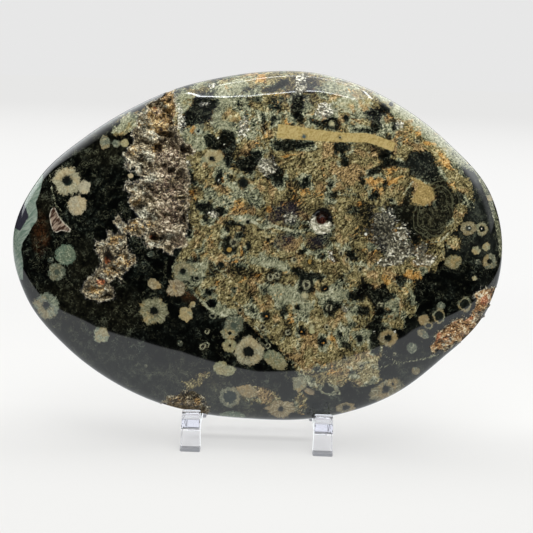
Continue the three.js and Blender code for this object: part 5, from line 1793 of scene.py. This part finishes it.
FRAME_X = dict(left=-24, right=28.8)
FRAME_WIDTH = 8
FRAME_DRAFT = 0.9
FRONT_Y, REAR_Y = -31, 31
FRONT_LEG_DEPTH, REAR_LEG_DEPTH = 6.6, 5
LIP_TOP, ARM_TOP, ARM_BOTTOM = 15.8, 11.9, 8.3
POST_FOOT_Y, POST_SLOPE, POST_DEPTH, POST_TOP = -10.1, 0.268, 5.2, 88
CORNER, FILLET, FOOT_EDGE, BAR_EDGE = 1, 2.5, 0.4, 0.6
BAR_GAP = 0.05                          # between a crossbar's end and the side frame
BASE_BAR = dict(y=12, z=10.1, depth=7, height=3.6)
BACK_BAR = dict(y=11.8, z=72, depth=3.4, height=8)
EDGE = 0.35                             # the polished edges' small bevel
CORNER_STEPS = 5


def post_front(z):
    """Y of an upright's front at that height."""
    return POST_FOOT_Y + POST_SLOPE * z


def post_back(z):
    """Y of an upright's back at that height."""
    return post_front(z) + POST_DEPTH


def side_profile():
    """The side frame's outline in Y and Z, with every corner rounded."""
    leg_front, leg_back = FRONT_Y + FRONT_LEG_DEPTH, REAR_Y - REAR_LEG_DEPTH
    corners = [
        (FRONT_Y, 0, FOOT_EDGE), (leg_front, 0, FOOT_EDGE), (leg_front, ARM_BOTTOM, CORNER),
        (leg_back, ARM_BOTTOM, FILLET), (leg_back, 0, FOOT_EDGE), (REAR_Y, 0, FOOT_EDGE),
        (REAR_Y, ARM_TOP, FILLET), (post_back(ARM_TOP), ARM_TOP, FILLET),
        (post_back(POST_TOP), POST_TOP, CORNER), (post_front(POST_TOP), POST_TOP, CORNER),
        (post_front(ARM_TOP), ARM_TOP, FILLET), (leg_front, ARM_TOP, CORNER),
        (leg_front, LIP_TOP, CORNER), (FRONT_Y, LIP_TOP, CORNER)]
    return rounded(corners)


def rounded(corners):
    """A closed outline whose corners, given as (a, b, rounding), turn smoothly."""
    outline = []
    for n, (a, b, rounding) in enumerate(corners):
        here = np.array([a, b], float)
        before = np.array(corners[n - 1][:2]) - here
        after = np.array(corners[(n + 1) % len(corners)][:2]) - here
        start = here + before / np.hypot(*before) * rounding
        end = here + after / np.hypot(*after) * rounding
        for t in np.linspace(0, 1, CORNER_STEPS):
            outline.append((1 - t) ** 2 * start + 2 * t * (1 - t) * here + t * t * end)
    return np.array(outline)


def drawn_in(outline, by):
    """A closed outline moved inwards by a small distance."""
    before, after = outline - np.roll(outline, 1, 0), np.roll(outline, -1, 0) - outline
    before /= np.hypot(*before.T)[:, None]
    after /= np.hypot(*after.T)[:, None]
    inward = np.stack([-before[:, 1] - after[:, 1], before[:, 0] + after[:, 0]], 1)
    inward /= np.maximum(np.hypot(*inward.T), 0.6)[:, None]
    return outline + by * inward


def bar_mesh(name, outline, half_width, middle):
    """A bar of that outline in Y and Z, which runs anticlockwise, with bevelled ends."""
    rings = [(-1, EDGE), (-1, 0), (1, 0), (1, EDGE)]
    points, faces = [], []
    count = len(outline)
    for side, inset in rings:
        ring = drawn_in(outline, inset) if inset else outline
        width = half_width(ring[:, 1]) - (0 if inset else EDGE)
        points.append(np.column_stack([middle + side * width, ring]))
    for r in range(3):
        for n in range(count):
            m = (n + 1) % count
            faces.append([r * count + n, r * count + m, (r + 1) * count + m, (r + 1) * count + n])
    for a, b, c in tessellate_polygon([[Vector((*corner, 0)) for corner in outline.tolist()]]):
        (ax, ay), (bx, by), (cx, cy) = outline[a], outline[b], outline[c]
        if (bx - ax) * (cy - ay) < (cx - ax) * (by - ay):
            b, c = c, b
        faces.append([a, c, b])
        faces.append([3 * count + n for n in (a, b, c)])
    made = make_mesh(name, np.concatenate(points), faces, 25)
    for edge in made.data.edges:    # a flat wall stays flat up to its rounded corners
        a, b = (n % count for n in edge.vertices)
        if a == b and a % CORNER_STEPS in (0, CORNER_STEPS - 1):
            edge.use_edge_sharp = True
    return made


def side_frame(name, middle):
    """One side of the easel, a little narrower above than at its feet."""
    def half_width(z):
        return FRAME_WIDTH / 2 * (1 - FRAME_DRAFT / FRAME_WIDTH * np.clip(z / LIP_TOP, 0, 1))
    return bar_mesh(name, side_profile(), half_width, middle)


def cross_bar(name, bar):
    """A bar between the two side frames."""
    half = (FRAME_X["right"] - FRAME_X["left"] - FRAME_WIDTH + FRAME_DRAFT) / 2 - BAR_GAP
    middle = (FRAME_X["right"] + FRAME_X["left"]) / 2
    a, b = bar["depth"] / 2, bar["height"] / 2
    outline = rounded([(bar["y"] + i * a, bar["z"] + j * b, BAR_EDGE) for i, j in
                       ((-1, -1), (1, -1), (1, 1), (-1, 1))])
    return bar_mesh(name, outline, lambda z: np.full(z.shape, half), middle)


ACRYLIC_IOR = 1.49
# The second colour is painted contact shade for the feet's lowest edges.
CLEAR, PAINTED_CONTACT_SHADE = (0.985, 0.985, 1.0, 1.0), (0.13, 0.13, 0.145, 1.0)
ACRYLIC_TINT, TINT_DENSITY = (0.60, 0.66, 0.95, 1.0), 7.0


def acrylic():
    """Clear acrylic, faintly scuffed and tinted; its bottom edges are matt and painted dark grey as contact
    shade.
    """
    g = material_graph("clear_acrylic")
    p = g.place()
    scuff = g.noise(p, 1.2, 4.0, 0.7)
    rough = g.mix_number(g.step(scuff, 0.55, 0.8), 0.015, 0.09)
    # Below about 1.4 mm the acrylic is matt, and painted dark grey as shade where the feet meet the floor.
    matt_and_shaded_bottom = g.step(g.axes(p)[2], 1.4, 1.1)
    out = g.surface(Base_Color=g.mix(matt_and_shaded_bottom, CLEAR, PAINTED_CONTACT_SHADE), Roughness=g.mix_number(matt_and_shaded_bottom, rough, 0.5),
                    IOR=ACRYLIC_IOR, Transmission_Weight=1.0)
    tint = g.node("VolumeAbsorption", {"Color": ACRYLIC_TINT, "Density": TINT_DENSITY})
    g.tree.links.new(tint.outputs[0], out.inputs["Volume"])
    return g.owner


# ---------------------------------------------------------------- putting the object together

skin_axes, skin_faces, skin_mouth, skin_hole = skin()
skin_points = to_row(*skin_axes.T)
stone = make_mesh("jasper_stone", skin_points, skin_faces, 50)
paint(stone, skin_points, *skin_axes.T, skin_mouth, skin_hole)
dress(stone, jasper(), "stone")

crust_finishes = {
    "druse": crust_material("brown_druse", BODY_SHADES, GOLD_SHADES, 0.0),
    "rusty_druse": crust_material("rusty_druse", RUST_SHADES, RUST_SHADES, 0.06)}
for hollow_name, hollow in HOLLOWS.items():
    dress(crust(hollow_name), crust_finishes[hollow["slot"]], hollow_name)

clear = acrylic()
for side, middle in FRAME_X.items():
    dress(side_frame("easel_side_" + side, middle), clear, "stand_side_" + side)
dress(cross_bar("easel_base_bar", BASE_BAR), clear, "stand_base_bar")
dress(cross_bar("easel_back_bar", BACK_BAR), clear, "stand_back_bar")


# ---------------------------------------------------------------- floor, light and camera

# What the polished face reflects, in metres. The sheet on the table ends towards the camera in a
# shallow V, and a wide lamp panel hangs in a pale ceiling.
SHEET_FRONT = [(-1.2, -0.2), (-0.25, -0.25), (-0.17, -0.44), (-0.1, -0.41), (-0.04, -0.27), (0, -0.185),
               (0.035, -0.21), (0.15, -0.45), (0.26, -0.62), (0.3, -0.42), (0.6, -0.56), (1.2, -0.56)]
SHEET_BACK = 0.9
SHEET_GLOW = 1.18
LAMP_HEIGHT = 0.62
LAMP_LEFT = [(-1.6, 0.06), (-0.66, 0.06), (-0.50, -0.06), (-0.38, -0.14), (-0.26, -0.08), (-0.185, 0.01)]
LAMP_FRONT = [(-0.185, 0.01), (-0.15, -0.14), (-0.1, -0.225), (-0.06, -0.252), (0, -0.238),
              (0.1, -0.188), (0.195, -0.172)]
LAMP_BACK = [(-0.124, 0.016), (-0.072, 0.02), (0.005, 0.096), (0.116, 0.138), (0.18, 0.183),
             (0.227, 0.15), (0.241, -0.023)]
LAMP_RIGHT = [(0.241, -0.05), (0.317, -0.16), (0.417, -0.233), (0.471, -0.277), (0.646, -0.339),
              (0.859, -0.422), (1.6, -0.8)]
CEILING_BACK, CEILING_SIDE = 1.2, 1.6
STRIP_DROP = 0.001      # of the lamp's bright edges below it
GLOW_COLOUR, PAPER_GLOW = (0.95, 0.985, 1, 1), (1.0, 0.998, 0.99, 1.0)
BLACK_PAPER, GREY_PAPER = (0, 0, 0, 1), (0.165, 0.165, 0.16, 1)


def glow_material(name, strength):
    """strength is a number, or a function that makes a socket from the graph."""
    g = material_graph(name)
    if callable(strength):
        strength = strength(g)
    g.output(g.node("Emission", {"Color": GLOW_COLOUR, "Strength": strength}))
    return g.owner


def flat(name, corners, height, faces, material):
    """A level sheet of the set, in metres."""
    mesh = bpy.data.meshes.new(name)
    mesh.from_pydata([(x, y, height) for x, y in corners], [], faces)
    mesh.materials.append(material)
    made = added(name, mesh)
    return made


def card(name, corners, height, faces, strength):
    """A flat glowing shape for the polished stone to reflect, out of every other ray's way."""
    made = flat(name, corners, height, faces, glow_material(name, strength))
    made.visible_camera = made.visible_diffuse = False
    made.visible_transmission = made.visible_shadow = False


def strip(name, line, width, strength):
    """A narrow glowing strip along a line of the lamp."""
    line = np.array(line)
    ahead = np.gradient(line, axis=0)
    ahead /= np.hypot(*ahead.T)[:, None]
    side = np.stack([-ahead[:, 1], ahead[:, 0]], 1) * width / 2
    edges = np.concatenate([line - side, line + side])
    count = len(line)
    faces = [[n, n + 1, count + n + 1, count + n] for n in range(count - 1)]
    card(name, edges.tolist(), LAMP_HEIGHT - STRIP_DROP, faces, strength)


def area_light(name, place, aim, size, watts):
    """A lamp that lights the object, without a reflection of its own."""
    light = bpy.data.lights.new(name, "AREA")
    light.shape = "RECTANGLE"
    light.size, light.size_y = size
    light.energy = watts
    made = added(name, light)
    made.location = place
    made.rotation_euler = (Vector(aim) - Vector(place)).to_track_quat("-Z", "Y").to_euler()
    made.visible_glossy = False


# The base bar's soft shadow: its place in depth, half its length, and how dark it is.
BAR_SHADOW, BAR_SHADOW_HALF, BAR_SHADOW_DARK = -0.005, 0.03, 0.09


def floor_material():
    """Paper whose glow fades from the stone outwards to the room's grey."""
    g = material_graph("pale_floor")
    here = g.here()
    far = g.node("VectorMath", {0: here}, operation="LENGTH").outputs["Value"]
    near = g.step(far, 0.55, 0.12)
    strength = g.mix_number(g.step(far, 0.8, 4.5), g.mix_number(near, 0.95, 0.67), 0.80)
    across, depth, _ = g.axes(here)
    ahead = g.mul(g.step(depth, 0.05, -0.03), g.step(depth, -0.32, -0.17))
    strength = g.sub(strength, g.mul(ahead, 0.09))
    shadow = g.mul(g.step(g.apart(depth, BAR_SHADOW), 0.006, 0.0),
                   g.step(g.math("ABSOLUTE", across), BAR_SHADOW_HALF, 0.02))
    strength = g.sub(strength, g.mul(shadow, BAR_SHADOW_DARK))
    glow = g.node("Emission", {"Color": PAPER_GLOW, "Strength": strength})
    paper = g.node("BsdfDiffuse", {"Color": g.mix(near, BLACK_PAPER, GREY_PAPER)})
    g.output(g.node("AddShader", {0: glow.outputs[0], 1: paper.outputs[0]}))
    return g.owner


FLOOR_REACH = 9.0
CARD_LIFT = 0.0002      # of the card that the stone reflects, over the floor


def floors():
    """The sheet that the stone reflects, and the same floor all round it for the other views."""
    paper = floor_material()
    side = SHEET_FRONT[-1][0]
    front = len(SHEET_FRONT)
    sheet = SHEET_FRONT + [(side, SHEET_BACK), (-side, SHEET_BACK)]
    outer = [(i * FLOOR_REACH, j * FLOOR_REACH) for i, j in ((-1, -1), (1, -1), (1, 1), (-1, 1))]
    b0, b1, b2, b3 = range(len(sheet), len(sheet) + 4)
    beyond = [[b0, b1, *range(front - 1, -1, -1)], [b1, b2, front, front - 1],
              [b2, b3, front + 1, front], [b3, b0, 0, front + 1]]
    middle = [list(range(len(sheet)))]
    flat("floor", sheet, 0, middle, paper).visible_glossy = False
    all_round = flat("floor_beyond", sheet + outer, 0, beyond, paper)
    all_round.visible_glossy = all_round.visible_diffuse = False
    card("sheet_card", sheet, CARD_LIFT, middle, SHEET_GLOW)


def ceiling_glow(g):
    """Fades in towards the right, where the lamp's light falls off."""
    x, y, _ = g.axes(g.here())
    behind = g.add(g.mul(g.sub(x, 0.265), 0.49), g.mul(g.add(y, 0.086), 0.87))
    haze = g.step(behind, -0.02, 0.24)
    lamp_side = g.add(1.5, g.mul(g.step(x, 0.02, 0.17), 1.6))
    left_side = g.mul(g.step(y, -0.18, 0.32), 3.4)
    lamp_side = g.mix_number(g.step(x, -0.24, -0.36), lamp_side, left_side)
    right_side = g.mul(haze, g.mix_number(g.step(x, 0.62, 0.95), 3.2, 1.0))
    return g.mix_number(g.step(x, 0.2, 0.27), lamp_side, right_side)


PALE_ROOM, DIM_ROOM = (0.80, 0.80, 0.80, 1), (0.022, 0.022, 0.022, 1)


def room():
    """Pale where it is seen, also through the acrylic, and dim for all other light."""
    g = Graph(bpy.data.worlds.new("room"))
    path = g.node("LightPath", {}).outputs
    seen = g.larger(path["Is Camera Ray"], path["Is Transmission Ray"])
    dim, pale = (g.node("Background", {"Color": shade}).outputs[0] for shade in (DIM_ROOM, PALE_ROOM))
    g.output(g.node("MixShader", {0: seen, 1: dim, 2: pale}), "OutputWorld")
    return g.owner


floors()
ceiling = LAMP_LEFT + LAMP_FRONT[1:] + LAMP_RIGHT
ceiling = ceiling + [(CEILING_SIDE, CEILING_BACK), (-CEILING_SIDE, CEILING_BACK)]
card("ceiling_card", ceiling, LAMP_HEIGHT, [list(range(len(ceiling)))], ceiling_glow)
strip("lamp_front_edge", LAMP_FRONT, 0.0056, 27.0)
strip("lamp_back_edge", LAMP_BACK, 0.012, 16.0)
area_light("key", (0.1, -0.55, 0.85), (0, 0, 0.08), (0.7, 0.5), 6.8)
area_light("top", (0, 0.1, 0.9), (0, 0, 0.05), (1.0, 0.8), 14.0)
area_light("fill", (-0.2, -0.9, 0.3), (0, 0, 0.08), (0.9, 0.7), 3.8)
bpy.context.scene.world = room()

camera = bpy.data.cameras.new("camera")
camera.lens = LENS
camera.sensor_width = SENSOR
camera_object = added("camera", camera)
facing = Matrix([CAMERA_RIGHT, CAMERA_UP, -CAMERA_AIM]).transposed()
camera_object.matrix_world = Matrix.Translation(Vector(CAMERA_PLACE * MM)) @ facing.to_4x4()
bpy.context.scene.camera = camera_object
bpy.context.scene.view_settings.view_transform = "Standard"
